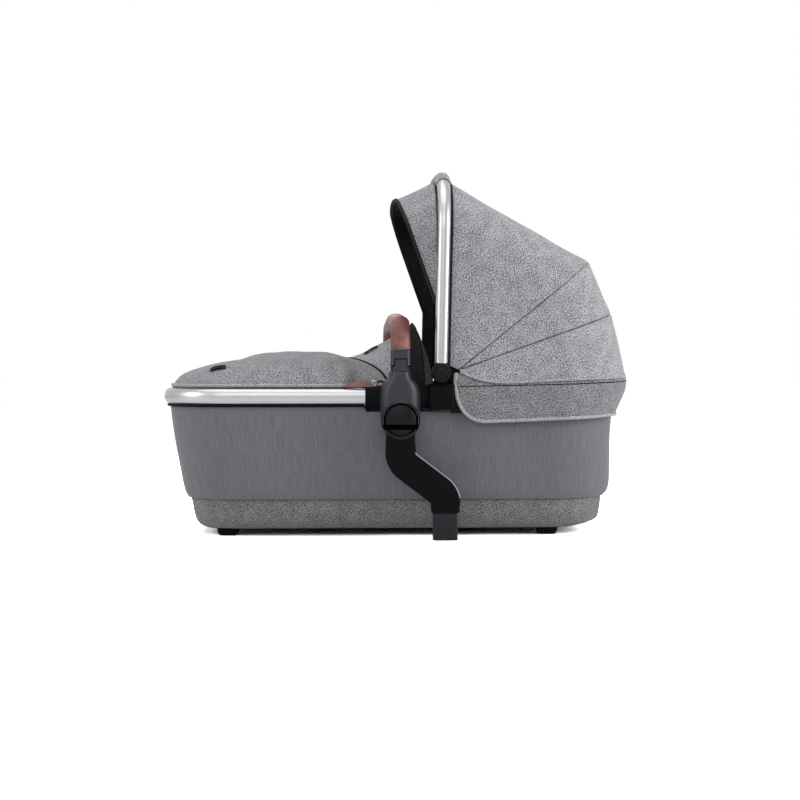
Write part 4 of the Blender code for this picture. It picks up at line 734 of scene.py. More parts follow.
clear_selection()
bpy.ops.mesh.primitive_plane_add(size=14.0, location=ORIGIN)
floor = name_new("studio_floor")
floor_finish, tree, shader = finish_of(
    "white_floor", Base_Color=(0.82, 0.82, 0.82, 1.0), Roughness=0.85, Specular_IOR_Level=0.2
)
bright = add_node(tree, "ShaderNodeBsdfDiffuse", {"Color": (3.0, 3.0, 3.0, 1.0)}).outputs[0]
share = seen_directly(tree, FLOOR_IN_METAL)
seen = add_node(tree, "ShaderNodeMixShader", {0: share, 1: shader.outputs[0], 2: bright})
tree.links.new(seen.outputs[0], tree.nodes["Material Output"].inputs["Surface"])
floor.data.materials.append(floor_finish)
print("lamps, world and floor are set")

# %% [markdown]
# ## The rim
# Two halves of an upright oval aluminium tube run round the top edge. They meet inside the hubs, in black
# sleeves. A tube bender made them, so they are an oval swept along two runs and two bends. Under the tube a
# black cord runs along the wall cloth's top edge; its black is painted shade under the rim.

# %% Bend the two rim tubes
HUB_X = middle("hub_cover_right").x
RIM_Z = middle("rim_tube_foot").z
RIM_Y = 0.192
FOOT_X, HEAD_X = -0.4206, 0.4004
FOOT_BEND, HEAD_BEND = 0.110, 0.130
RIM_GAP = 0.0002
SHADE_CORD_OUT, SHADE_CORD_Z = 0.0035, 0.2372


def half_rim(name, outline, from_x, end_x, bend, half_width=RIM_Y, height=RIM_Z):
    """One end of the rim: out along a side, round the end and back."""
    toward = math.copysign(1.0, end_x - from_x)
    run = abs(end_x - from_x) - bend
    corner = (90.0, bend, DOWN)
    path = (run, corner, 2.0 * (half_width - bend), corner, run)
    return swept(name, outline, (from_x, toward * half_width, height), (toward, 0.0, 0.0), Y, path)


for name, from_x, end_x, bend, node in (
    ("rim_foot_half", HUB_X - RIM_GAP, FOOT_X, FOOT_BEND, "rim_tube_foot"),
    ("rim_head_half", HUB_X + RIM_GAP, HEAD_X, HEAD_BEND, "rim_tube_head"),
):
    fit(half_rim(name, oval(0.022, 0.029, 40), from_x, end_x, bend), aluminium, "silver", "cot", node)
# black cords under the rim: painted shade along the wall's top edge
for name, from_x, end_x, bend in (
    ("wall_cord_foot", -0.066, FOOT_X - SHADE_CORD_OUT, FOOT_BEND),
    ("rim_shade_cord_head", 0.0965, HEAD_X + SHADE_CORD_OUT, HEAD_BEND),
):
    cord = half_rim(name, oval(0.0044, 0.0044, 12), from_x, end_x, bend, RIM_Y + SHADE_CORD_OUT, SHADE_CORD_Z)
    fit(cord, webbing, DARK, "cot")
print("rim halves and cords from x", HUB_X)

# %% [markdown]
# ## Rim sleeves
# On each side a black plastic sleeve grips the rim's two halves where they meet, and a slimmer cuff goes on
# from it towards the hood's clamp. Both are ovals extruded along the rim; the sleeve's edges are rounded.

# %% Sleeves
for side, sign in SIDES:
    low_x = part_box("rim_sleeve_" + side)[0].x
    place = (low_x, sign * RIM_Y, RIM_Z)
    sleeve = swept("rim_sleeve_cover_" + side, oval(0.028, 0.039, 40), place, X, Y, (0.0478 - low_x,))
    round_edges(sleeve, 0.0016, 3, 35.0)
    fit(sleeve, arm_plastic, PLASTIC, "cot", "rim_sleeve_" + side)
    cuff = swept("rim_cuff_" + side, oval(0.0244, 0.0316), (0.0930, sign * RIM_Y, RIM_Z), X, Y, (0.0350,))
    fit(cuff, arm_plastic, PLASTIC, "cot")
print("sleeves on both sides")

# %% [markdown]
# ## The hubs
# Each hub is a moulded egg with a flat back and a domed front. Its cross-section is the same D at every
# height and only its width and depth change, so the D is extruded down in short steps and resized at each. A
# pocket for the button is cut into it, and a ring stands round the pocket, with a thin black strip laid in its
# groove as painted shade.

# %% Draw the D down through the hub
# rows are the height, the half width in millimetres and the share of the depth
HUB_ROWS = (
    (0.2980, 19.6, 0.93), (0.2960, 19.9, 0.955), (0.2915, 20.3, 0.965), (0.2880, 21.4, 0.975), (0.2845, 24.0, 0.982),
    (0.2800, 28.2, 0.990), (0.2750, 31.6, 0.996), (0.2680, 34.2, 1.0), (0.2600, 35.6, 1.0), (0.2500, 36.0, 1.0),
    (0.2380, 35.9, 1.0), (0.2260, 35.2, 1.0), (0.2130, 34.4, 1.0), (0.2030, 33.0, 1.0), (0.1950, 29.8, 0.998),
    (0.1880, 24.6, 0.99), (0.1825, 18.0, 0.975), (0.1793, 11.4, 0.955), (0.1774, 5.0, 0.93),
)
BACK_Y, FRONT_Y = 0.200, 0.236
BUTTON_Z = 0.213
BUTTON_AT = (HUB_X, 0.0, BUTTON_Z)
D_POWER, D_STEPS = 2.7, 44
POCKET_PROFILE = ((0.0, 0.220), (0.0303, 0.220), (0.0303, 0.245), (0.0, 0.245))
RING_PROFILE = (
    (0.0303, 0.2212), (0.0341, 0.2212), (0.0341, 0.2352), (0.0338, 0.2358), (0.0333, 0.2356), (0.0331, 0.2330),
    (0.0319, 0.2330), (0.0318, 0.2360), (0.0313, 0.2366), (0.0306, 0.2364), (0.0303, 0.2354), (0.0303, 0.2212),
)
# a thin black ring laid in the ring's groove as painted shade
GROOVE_SHADE_PROFILE = ((0.0316, 0.2318), (0.0334, 0.2318), (0.0334, 0.2352), (0.0316, 0.2352), (0.0316, 0.2318))


def d_outline():
    """A half superellipse of half width 1 and depth 1, on a flat back."""
    turns = [math.pi * i / D_STEPS for i in range(D_STEPS + 1)]
    pairs = [(math.cos(turn), math.sin(turn)) for turn in turns]
    return [(math.copysign(abs(c) ** (2 / D_POWER), c), abs(s) ** (2 / D_POWER)) for c, s in pairs]


def hub_body(name, sign):
    """The D swept down through the rows."""
    depth = FRONT_Y - BACK_Y
    top, wide, deep = HUB_ROWS[0]
    outline = [(a * wide / 1000.0, b * depth * deep) for a, b in d_outline()]
    path = []
    for before, after in zip(HUB_ROWS, HUB_ROWS[1:]):
        path += [before[0] - after[0], (after[1] / before[1], after[2] / before[2])]
    # with this across, the D's depth points outwards on both sides
    return swept(name, outline, (HUB_X, sign * BACK_Y, top), DOWN, (-sign, 0.0, 0.0), path)


def cut_out(piece, tool):
    """Cuts a tool's shape out of a piece, paints the cut faces near black as painted shade, and removes the tool."""
    # the cut faces are painted near black, as shade in the recess
    tool.data.materials.append(painted_shade_plastic)
    modify(piece, "BOOLEAN", object=tool, operation="DIFFERENCE", solver="EXACT", material_mode="TRANSFER")
    bpy.data.objects.remove(tool)
    smooth(piece)


def scoop_tool(sign):
    """The bar that is cut out across the button and its ring."""
    start = (HUB_X - 0.0400, sign * 0.2358, BUTTON_Z - 0.0123)
    return swept("scoop_tool", rounded(0.0120, 0.0094, 0.0012), start, X, Y, (0.080,))


for side, sign in SIDES:
    out = (0.0, sign, 0.0)
    hub = hub_body("hub_body_" + side, sign)
    dress(hub, hub_plastic)
    # the pocket's faces are painted near black, as shade
    cut_out(hub, turned("pocket_tool", POCKET_PROFILE, BUTTON_AT, out, 64))
    ring = turned("hub_ring_" + side, RING_PROFILE, BUTTON_AT, out)
    dress(ring, hub_plastic)
    # the black strip in the ring's groove is painted shade
    groove_shade = turned("hub_groove_shade_" + side, GROOVE_SHADE_PROFILE, BUTTON_AT, out)
    dress(groove_shade, painted_shade_plastic)
    # the scoop through the ring is painted near black too, as shade
    cut_out(ring, scoop_tool(sign))
    for piece in (hub, ring, groove_shade):
        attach(piece, "cot")
    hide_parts("hub_cover_" + side)
print("hub bodies:", len(hub.data.vertices), "points")

# %% [markdown]
# ## Release buttons
# The round button has a shallow dome, and its lower third is scooped out so that a thumb finds it. It is
# turned on a lathe line, and a rounded bar is then cut out of it.

# %% Turn a button and scoop it
CAP_RADIUS, CAP_FOOT, CAP_RISE = 0.0286, 0.2312, 0.0083
cap_profile = [(0.0, 0.2395)]
for share in (0.2, 0.4, 0.55, 0.7, 0.8, 0.88, 0.94, 0.98, 1.0):
    cap_profile.append((CAP_RADIUS * share, CAP_FOOT + CAP_RISE * math.sqrt(max(1.0 - share**2, 0.0)) ** 0.9))
cap_profile += [(0.0289, 0.2300), (0.0289, 0.2262), (0.0, 0.2262)]
for side, sign in SIDES:
    button = turned("button_cap_" + side, cap_profile, BUTTON_AT, (0.0, sign, 0.0))
    dress(button, gloss_plastic)
    # the scoop's faces are painted near black, as its shade
    cut_out(button, scoop_tool(sign))
    join(button, "button_" + side, "release_button_" + side)
print("buttons with scoops")

# %% [markdown]
# ## The arms
# Each arm leaves the hub downwards, bends towards the head end and bends back, so that its plug stands under
# the cot's balance point. It is a rounded rectangle swept along three runs and two bends. A thin pale line runs
# down its head-side edge as a painted highlight.

# %% Sweep the arms and plugs
ARM_Y, ARM_BEND, ARM_RADIUS, ARM_RUN = 0.2215, 52.65, 0.031, 0.0687
ARM_EDGE = 0.0262
AWAY = (0.0, -1.0, 0.0)
ARM_PATH = (
    0.0120, 0.0221, (1.055, 1.0), (ARM_BEND, ARM_RADIUS, AWAY), ARM_RUN, (ARM_BEND, ARM_RADIUS, Y), (0.955, 1.0),
    0.0156, (0.955, 1.0),
)
HIGHLIGHT_PATH = ((ARM_BEND, 0.0048, AWAY), ARM_RUN, (ARM_BEND * 0.8, ARM_RADIUS + ARM_EDGE, Y))
PLUG_PATH = (
    0.0027, 0.0001, (1.170, 1.255), 0.0012, (1.020, 1.020), 0.0120, 0.0320, (1.016, 1.006), 0.0014, (0.955, 0.93),
)
for side, sign in SIDES:
    arm_at = (HUB_X, sign * ARM_Y, 0.1900)
    arm = swept("arm_shell_" + side, rounded(0.0510, 0.0260, 0.0042), arm_at, DOWN, X, ARM_PATH)
    round_edges(arm, 0.0007)
    line_at = (HUB_X + ARM_EDGE, sign * (ARM_Y + 0.0124), 0.1560)
    # a pale line down the arm's head-side edge, painted as its highlight
    highlight_line = swept("arm_highlight_line_" + side, oval(0.0018, 0.0018, 10), line_at, DOWN, X, HIGHLIGHT_PATH)
    plug_at = (middle("arm_plug_" + side).x, sign * ARM_Y, 0.0500)
    plug = swept("plug_body_" + side, rounded(0.0360, 0.0200, 0.0030), plug_at, DOWN, X, PLUG_PATH)
    round_edges(plug, 0.0004)
    fit(arm, arm_plastic, PLASTIC, "cot", "arm_cover_" + side, "arm_back_" + side)
    fit(highlight_line, painted_highlight_plastic, PLASTIC, "cot")
    fit(plug, plug_plastic, PLASTIC, "cot", "arm_plug_" + side)
print("arms and plugs swept")

# %% [markdown]
# ## Arches
# The handle, the bow, the ribs and every hem of the hood are arches of one kind: two straight legs, two
# round corners and a long crown that meets them smoothly. The same four sizes give a bender's path for the
# metal ones and a line of points for the cloth ones.

# %% An arch as a path and as points
def arch_sizes(half_width, rise, corner, lean):
    """The radius of an arch's crown and the length of its legs."""
    turn = math.radians(lean)
    crown_radius = corner + (half_width - corner) / math.sin(turn)
    return crown_radius, rise - crown_radius + (crown_radius - corner) * math.cos(turn)


def arch_tube(name, outline, foot, slope, half_width, rise, corner, lean, start=0.0):
    """A tube bent into an arch that stands on foot and slopes towards the head by an angle to the floor."""
    crown_radius, leg = arch_sizes(half_width, rise, corner, lean)
    turn = math.radians(slope)
    up = Vector((math.cos(turn), 0.0, math.sin(turn)))
    axis = (-up.z, 0.0, up.x)
    bend = (90.0 - lean, corner, axis)
    path = (leg - start, bend, (2.0 * lean, crown_radius, axis), bend, leg - start)
    at = Vector(foot) + up * start + Vector((0.0, -half_width, 0.0))
    return swept(name, outline, at, up, up.cross(Vector(Y)), path)


def arch_points(foot, slope, half_width, rise, corner, lean=6.0, start=0.010, count=400):
    """Points along an arch at even steps, from the right foot to the left."""
    crown_radius, leg = arch_sizes(half_width, rise, corner, lean)
    turn, slope = math.radians(lean), math.radians(slope)
    to_corner = leg - start
    to_crown = to_corner + corner * (math.pi / 2 - turn)
    half_length = to_crown + crown_radius * turn
    points = []
    for i in range(count + 1):
        far = 2.0 * half_length * i / count
        sign = -1.0 if far <= half_length else 1.0
        far = min(far, 2.0 * half_length - far)
        if far <= to_corner:
            y, s = half_width, start + far
        elif far <= to_crown:
            a = (far - to_corner) / corner
            y = half_width - corner + corner * math.cos(a)
            s = leg + corner * math.sin(a)
        else:
            a = math.pi / 2 - turn + (far - to_crown) / crown_radius
            y = crown_radius * math.cos(a)
            s = rise - crown_radius + crown_radius * math.sin(a)
        points.append(Vector((foot[0] + s * math.cos(slope), sign * y, foot[2] + s * math.sin(slope))))
    return points


HANDLE_Y = 0.218
BOW_SLOPE = 88.8
BOW_SIZES = (0.2160, 0.3565, 0.098, 5.0, 0.0173)
print("arch of the bow:", arch_sizes(*BOW_SIZES[:4]))

# %% [markdown]
# ## Grip and bow
# The handle's grip is an oval tube bent into a low arch and wrapped in leather. The hood's bow is a round
# aluminium tube in a taller arch, and leans with the hinge that it turns on. Both follow the one arch helper.

# %% Bend the grip and the bow
grip_at = (HUB_X, 0.0, 0.298)
grip = arch_tube("leather_grip", oval(0.035, 0.026, 40), grip_at, 90.0, HANDLE_Y, 0.0965, 0.045, 6.0, 0.0401)
fit(grip, leather, "leather", "handle", "handle_grip", "handle_tube")

PIVOT = Vector((middle("pivot_pin_right").x, 0.0, middle("pivot_pin_right").z))
bow = arch_tube("hood_bow_tube", oval(0.0235, 0.0235, 40), PIVOT, BOW_SLOPE, *BOW_SIZES)
fit(bow, aluminium, "silver", "hood_front", "hood_bow")
print("grip and bow bent")

# %% [markdown]
# ## The cloth walls
# The wall cloth is one band sewn into a ring. It hangs from the rim, leans in a little and is drawn in under
# its hem, where the lower heather wall starts. A table gives how far it has leaned in at each height, at the
# foot, at the head and at the sides, and a smooth curve runs through the table.

# %% A smooth curve through a table, and the loop round the cot
def curve_at(table, share, column=1):
    """Reads a table of (share, value, ...) rows along a smooth curve."""
    rows = sorted(table)
    last = len(rows) - 1
    k = 0
    while k < last - 1 and share > rows[k + 1][0]:
        k += 1
    (a, va), (b, vb) = ((row[0], row[column]) for row in rows[k : k + 2])

    def slope(i):
        low, high = rows[max(i - 1, 0)], rows[min(i + 1, last)]
        return (high[column] - low[column]) / (high[0] - low[0])

    h = b - a
    t = (share - a) / h
    ends = (2 * t**3 - 3 * t**2 + 1) * va + (3 * t**2 - 2 * t**3) * vb
    return ends + (t**3 - 2 * t**2 + t) * h * slope(k) + (t**3 - t**2) * h * slope(k + 1)


def eased(share):
    """Goes smoothly from 0 to 1."""
    t = min(max(share, 0.0), 1.0)
    return t * t * (3.0 - 2.0 * t)


def even_steps(points, count):
    """The same line of points, at even steps."""
    points = [Vector(p) for p in points]
    far = [0.0]
    for a, b in zip(points, points[1:]):
        far.append(far[-1] + (b - a).length)
    result, k = [], 0
    for i in range(count + 1):
        want = far[-1] * i / count
        while k < len(far) - 2 and far[k + 1] < want:
            k += 1
        step = far[k + 1] - far[k]
        result.append(points[k].lerp(points[k + 1], (want - far[k]) / step if step > 1e-9 else 0.0))
    return result


LOOP_SEAM = -42.0


def rim_loop(foot_inset=0.0, head_inset=0.0, side_inset=0.0, count=360):
    """Points round the cot at even steps, from a seam on the right head bend, past the foot and back."""
    half = RIM_Y - side_inset
    foot_bend, head_bend = FOOT_BEND - side_inset, HEAD_BEND - side_inset
    foot, head = FOOT_X + foot_inset + foot_bend, HEAD_X - head_inset - head_bend
    dense = []
    for x, bend, side, first, last in (
        (head, head_bend, -1.0, LOOP_SEAM, -90.0),
        (foot, foot_bend, -1.0, -90.0, -180.0),
        (foot, foot_bend, 1.0, 180.0, 90.0),
        (head, head_bend, 1.0, 90.0, 0.0),
        (head, head_bend, -1.0, 0.0, LOOP_SEAM),
    ):
        dense += arc((x, side * (half - bend)), bend, first, last, 40)
    return even_steps(dense, count)


def ring_cloth(name, table, top_of, low_z, insets, base, rows, puff, outset=0.0, seams=()):
    """A ring of wall cloth. Its table's rows are the height share, then the lean's shares at the foot, at the
    head and at the sides. top_of gives its top at each x."""
    columns = 360
    loops = {}

    def place(u, v):
        key = round(v, 5)
        if key not in loops:
            shares = [curve_at(table, 1.0 - v, k) for k in (1, 2, 3)]
            foot, head, side = (b + s * i for b, s, i in zip(base, shares, insets))
            loops[key] = rim_loop(foot, head, side - outset, columns)
        loop = loops[key]
        i = round(u * columns)
        at = loop[i]
        along = loop[(i + 1) % columns] - loop[(i - 1) % columns]
        out = Vector((-along.y, along.x)).normalized()
        z = low_z + (top_of(at.x) - low_z) * (1.0 - v)
        lift = puff(at.x, at.y, z, v)
        return (at.x + out.x * lift, at.y + out.y * lift, z)

    piece = cloth(name, columns, rows, place, "lh", seams, edge_rows=True)
    merge_doubles(piece, face_out=False)
    return piece


print("rim loop:", rim_loop()[0][:], rim_loop()[90][:])

# %% [markdown]
# The two tables hold the wall's slope at the foot, at the head and at the sides, read down from the rim. Long
# waves and short pulls above the hem keep the cloth from looking like sheet metal.

# %% Wall cloth
BODY_LEAN = (
    (1.00, 0.00, 0.00, 0.00), (0.80, 0.10, 0.12, 0.05), (0.63, 0.22, 0.20, 0.15), (0.45, 0.38, 0.22, 0.30),
    (0.27, 0.56, 0.26, 0.50), (0.14, 0.70, 0.32, 0.65), (0.05, 0.84, 0.55, 0.82), (0.00, 1.00, 1.00, 1.00),
)
BASE_LEAN = (
    (1.00, 0.00, 0.00, 0.00), (0.74, 0.17, 0.05, 0.10), (0.46, 0.29, 0.11, 0.20), (0.18, 0.50, 0.25, 0.45),
    (0.05, 0.79, 0.70, 0.80), (0.00, 1.00, 1.00, 1.00),
)


def behind_hubs(x):
    """1 where the hubs and the hood's clamps stand, and 0 beside them."""
    return eased(min((x + 0.0665) / 0.004, (0.0970 - x) / 0.004) + 0.5)


def wall_top(x):
    return 0.2380 - 0.0112 * behind_hubs(x)


def wall_puff(x, y, z, v):
    """Slack in the wall: long soft waves, and short pulls above the hem."""
    pull = crease(x * 2.4, y * 2.4, z * 0.35, 0.035, 0.0009) * v
    return (crease(x, y, z * 0.5, 0.11, 0.0016) + pull - 0.0008) * math.sin(math.pi * v)


def base_puff(x, y, z, v):
    return crease(x, y, z, 0.06, 0.0011) * math.sin(math.pi * v)


wall = ring_cloth(
    "wall_cloth", BODY_LEAN, wall_top, 0.068, (0.032, 0.017, 0.0155), ORIGIN, 30, wall_puff, 0.001,
    (0.0, 0.405, 0.593),
)
sewn_sheet(
    wall, CLOTH_THICK, wall_cloth, "smooth_fabric", "cot", "body_fabric",
    on=["rim_foot_half", "rim_head_half", "lower_wall_cloth"],
)
base = ring_cloth(
    "lower_wall_cloth", BASE_LEAN, lambda x: 0.0720, 0.0142, (0.024, 0.036, 0.024), (0.0355, 0.0205, 0.0170), 18,
    base_puff,
)
sewn_sheet(base, 0.0020, heather_low, FLECKED, "cot", "base_fabric", on=["wall_cloth", "base_tray"])

# %% [markdown]
# ## The hood
# The hood is three panels sewn along two wire ribs, with a visor in front of the bow and a skirt below. Each
# panel is one sheet between two arches. Its edges turn in to the seams, its middle sags a little between the
# ribs, and soft creases run out from the hinge, where the cloth is gathered.

# %% Arches of the hood
# the cloth lies calm where a panel is narrower, or a cover rises less, than CALM; PULL_REACH is how far from the
# hinge the gathers run
MIDDLE_SHIFT, CALM, PULL_REACH = 0.0036, 0.03, 0.16
FAN = (0.109 - MIDDLE_SHIFT, 0.0, 0.279)
SEAMS_FROM = (0.1013, 0.0, 0.3010)
HOOD_Y, HOOD_REACH = 0.2075, 0.321
UPPER_SLOPE, LOWER_SLOPE, REAR_SLOPE, VISOR_SLOPE = 39.0, 19.5, 0.8, 109.5
VISOR_FOOT = (PIVOT.x + (0.390 - PIVOT.z) / math.tan(math.radians(BOW_SLOPE)), 0.0, 0.390)
front_line = arch_points((0.0795 - MIDDLE_SHIFT, 0.0, 0.303), 87.2, 0.2041, 0.3450, 0.088)
upper_line = arch_points(SEAMS_FROM, UPPER_SLOPE, HOOD_Y, 0.3217, 0.096, start=0.0010)
lower_line = arch_points(SEAMS_FROM, LOWER_SLOPE, HOOD_Y, 0.3128, 0.110, start=0.0010)
rear_line = arch_points(FAN, REAR_SLOPE, HOOD_Y, HOOD_REACH, 0.138)
visor_back_line = arch_points(VISOR_FOOT, 92.3, 0.2020, 0.2595, 0.090)
visor_front_line = arch_points(VISOR_FOOT, VISOR_SLOPE, 0.2020, 0.2400, 0.090)


def on_line(line, share):
    """The point at a share of a line's length."""
    far = min(max(share, 0.0), 1.0) * (len(line) - 1)
    k = min(int(far), len(line) - 2)
    return line[k].lerp(line[k + 1], far - k)


def hood_panel(name, low_line, high_line, slack, rows, tuck=0.0022):
    """A hood panel between two arches. slack(u, v, point) is its lift off the straight surface."""
    tuck_wide, margin, step = 0.005, 0.0002, 0.004

    def flat(u, v):
        low, high = on_line(low_line, u), on_line(high_line, u)
        least = margin / max((high - low).length, 0.002)
        return low.lerp(high, min(max(v, least), 1.0 - least))

    def place(u, v):
        at = flat(u, v)
        along = flat(min(u + step, 1.0), v) - flat(max(u - step, 0.0), v)
        across = on_line(high_line, u) - on_line(low_line, u)
        wide = across.length
        turned_in = tuck * max(1.0 - min(v, 1.0 - v) * wide / tuck_wide, 0.0) ** 2
        return at + along.cross(across).normalized() * (slack(u, v, at) - turned_in) * min(wide / CALM, 1.0)

    return cloth(name, 150, rows, place, edge_rows=True)


def hood_creases(sag, fan_pull=0.0011):
    def slack(u, v, at):
        side = abs(2.0 * u - 1.0)
        middle_share = math.sin(math.pi * v)
        wave = crease(at.x, at.y, at.z, 0.07, 0.0013) + crease(at.x, at.y, at.z, 0.028, 0.0005)
        near_fan = max(1.0 - math.hypot(at.x - FAN[0], at.z - FAN[2]) / PULL_REACH, 0.0)
        pull = math.sin(v * 17.0 + side * 3.0) * fan_pull * near_fan * min(near_fan * 6.0, 1.0)
        calm = min(min(u, 1.0 - u) * 30.0, 1.0)
        return (wave + pull) * calm * min(middle_share * 2.0, 1.0) - sag * middle_share * (1.0 - 0.35 * side)

    return slack


panels = {}
for name, low_line, high_line, creases, rows, node in (
    ("hood_front_panel", upper_line, front_line, hood_creases(0.0022), 36, "canopy_front"),
    ("hood_middle_panel", lower_line, upper_line, hood_creases(0.0014), 24, "canopy_middle"),
    ("hood_rear_panel", rear_line, lower_line, hood_creases(-0.0022), 24, "canopy_rear"),
    ("visor_panel", visor_back_line, visor_front_line, hood_creases(0.0006, 0.0), 18, "visor_fabric"),
):
    panels[name] = hood_panel(name, low_line, high_line, creases, rows)
    thicken(panels[name], 0.0014, lined=True)
    dress(panels[name], heather, lining)
    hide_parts(node)

# %% [markdown]
# ## How the panels fold
# Each panel is sewn to two arches that turn on the hinge by different amounts. A point of the panel follows one
# arch at one edge, the other arch at the other edge, and both by its share of the width in between, so the
# cloth neither tears nor leaves its seam at any angle.

# %% Panels bend between the hood's bodies
for name, low_body, high_body in (
    ("hood_front_panel", "hood_upper", "hood_front"),
    ("hood_middle_panel", "hood_lower", "hood_upper"),
    ("hood_rear_panel", "cot", "hood_lower"),
    ("visor_panel", "hood_front", "visor"),
):
    panel = panels[name]
    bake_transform(panel, low_body, high_body, start=(0.0, 0.0, 0.0), end=(0.0, 0.0, 1.0))
    shares = panel.data.attributes["panel_share"].data
    for weight, share in zip(panel.data.attributes["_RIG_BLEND"].data, shares):
        weight.value = share.value
    print(name, "bends between", low_body, "and", high_body)

# %% [markdown]
# ## The skirt
# Below the hood hangs a skirt that covers the rim round the head end. Its front corners are round, its hem
# carries a pale piping, and a zip joins it to the hood under a narrow flap.

# %% Hang the skirt
SKIRT_FALL = ((0.00, 0.0, 0.00), (0.10, 1.0, 0.00), (0.35, 1.0, 0.12), (0.65, 0.6, 0.50), (1.00, 0.0, 1.00))
HEM_HEIGHTS = (
    (0.0900, 0.2960), (0.1025, 0.2949), (0.1270, 0.2851), (0.1465, 0.2796), (0.1726, 0.2762), (0.2053, 0.2762),
    (0.2707, 0.2796), (0.4300, 0.2856),
)
SKIRT_FROM, SKIRT_CORNER = 0.0954, 0.058
SKIRT_DROP, SKIRT_COLUMNS = 0.072, 240
skirt_line = arch_points(FAN, REAR_SLOPE, HOOD_Y, HOOD_REACH, 0.138, start=SKIRT_FROM - FAN[0])


def hood_side(at):
    """How far back and how far to the side a point of the hood's edge is, and the way out from it."""
    back = min(max((at.x - FAN[0]) / HOOD_REACH, 0.0), 1.0)
    side = min(abs(at.y) / HOOD_Y, 1.0)
    return back, side, Vector((back**3, math.copysign(side**4, at.y), 0.0))


def skirt_drop(at, back):
    """How far the skirt falls: less at the back, and a round corner at each front end."""
    full = SKIRT_DROP - 0.008 * back
    from_front = at.x - SKIRT_FROM
    if from_front < SKIRT_CORNER:
        t = 1.0 - max(from_front, 0.0) / SKIRT_CORNER
        full *= 0.05 + 0.95 * math.sqrt(max(1.0 - t**2.3, 0.0))
    return full


def skirt_place(u, v):
    at = on_line(skirt_line, u)
    back, side, out = hood_side(at)
    swell, tuck = curve_at(SKIRT_FALL, v, 1), curve_at(SKIRT_FALL, v, 2)
    wave = crease(at.x, at.y, v * 0.1, 0.05, 0.0016) * v + crease(at.x * 1.5, at.y * 1.5, v * 0.05, 0.02, 0.0006) * v
    moved = at - out * (tuck * (0.0215 + (0.0022 - 0.0215) * side**4) - swell * 0.002 - wave)
    low = at.z + 0.0005 - skirt_drop(at, back)
    top = max(at.z + 0.0005, curve_at(HEM_HEIGHTS, at.x) + 0.0015)
    return (moved.x, moved.y, top + (low - top) * v)


skirt = cloth("hood_skirt_cloth", SKIRT_COLUMNS, 26, lambda u, v: skirt_place(1.0 - u, v), edge_rows=True)
thicken(skirt, 0.0018, lined=True)
# the skirt wears the darker copy of the hood's heather, as painted shade
fit(skirt, heather_skirt_painted_shade, FLECKED, "cot", "hood_skirt", inner=lining)
hem_places = [(0.0, v / 10) for v in range(1, 10)]
hem_places += [(i / SKIRT_COLUMNS, 1.0) for i in range(SKIRT_COLUMNS + 1)]
hem_places += [(1.0, v / 10) for v in range(9, 0, -1)]
hem = corded("skirt_piping", [Vector(skirt_place(*place)) for place in hem_places], 0.0031, sides=6)
fit(hem, heather_pale, FLECKED, "cot")
print("skirt hung")

# %% [markdown]
# ## Apron and collar
# The apron covers the foot half. It rises steeply from its hem round the rim, lies almost flat on top and
# falls to a crease, where the collar stands up towards the hood as a wind break. The collar's upper part lies in
# the hood's shade, and that shade is painted on it as a dark band of lining cloth.

# %% Place the apron and the collar
APRON_RISE_AT = (
    (0.00, 0.00), (0.02, 0.24), (0.056, 0.39), (0.10, 0.48), (0.17, 0.59), (0.24, 0.68), (0.31, 0.74),
    (0.38, 0.79), (0.45, 0.91), (0.52, 0.97), (0.60, 1.00), (0.73, 1.01), (0.87, 1.00), (0.94, 0.91), (1.00, 0.82),
)
COLLAR_RISE_AT = ((0.00, 0.452), (0.20, 0.515), (0.40, 0.625), (0.68, 0.775), (1.00, 1.000))
APRON_FOOT, APRON_BEND, APRON_Z = -0.4166, 0.106, 0.2687
VALLEY, VALLEY_SIDE = -0.0956, -0.0216
# the last of these is where the collar's band of painted shade starts
COLLAR_TOP, COLLAR_TOP_SIDE, SHADE_BAND_FROM = 0.0274, 0.0424, 0.0120
APRON_COLUMNS, APRON_HALF, APRON_RISE, COLLAR_RISE = 120, 0.190, 0.0650, 0.1185


def apron_half(x):
    """Half of the apron's width: round at the foot, and narrower at the neck."""
    from_foot = x - APRON_FOOT
    half = APRON_HALF
    if from_foot < APRON_BEND:
        half += math.sqrt(max(APRON_BEND**2 - (APRON_BEND - from_foot) ** 2, 0.0)) - APRON_BEND
    return half - 0.0215 * eased((x + 0.1086) / 0.039)


def crown(share, power):
    """The round cross-section of a cover, 1 in the middle and 0 at its edges."""
    return math.sqrt(max(1.0 - abs(share) ** power, 0.0))


def across_share(u):
    """Columns are closer together towards both edges, where the cloth is steep."""
    return math.sin((u - 0.5) * math.pi) * 0.55 + (2.0 * u - 1.0) * 0.45


def apron_height(x, across, share, calm=1.0):
    """The apron's height at a share of its length, with soft waves where it isn't calm."""
    rise = APRON_RISE * curve_at(APRON_RISE_AT, share) * crown(across, 3.2)
    wave = crease(x, across * 0.2, 0.0, 0.06, 0.0024) + crease(x, across * 0.2, 0.0, 0.022, 0.0007)
    return APRON_Z + rise + wave * min(rise / CALM, 1.0) * calm


def apron_place(u, v):
    across = across_share(1.0 - u)
    skew = (VALLEY_SIDE - VALLEY) * max(v * 2.0 - 1.0, 0.0) ** 2
    x = APRON_FOOT + v * (VALLEY - APRON_FOOT) + skew * across * across
    return (x, across * apron_half(x), apron_height(x, across, v, min((1.0 - v) * 12.0, 1.0)))


def collar_span(across):
    """Where the collar starts and ends."""
    share = across * across
    return VALLEY + (VALLEY_SIDE - VALLEY) * share, COLLAR_TOP + (COLLAR_TOP_SIDE - COLLAR_TOP) * share


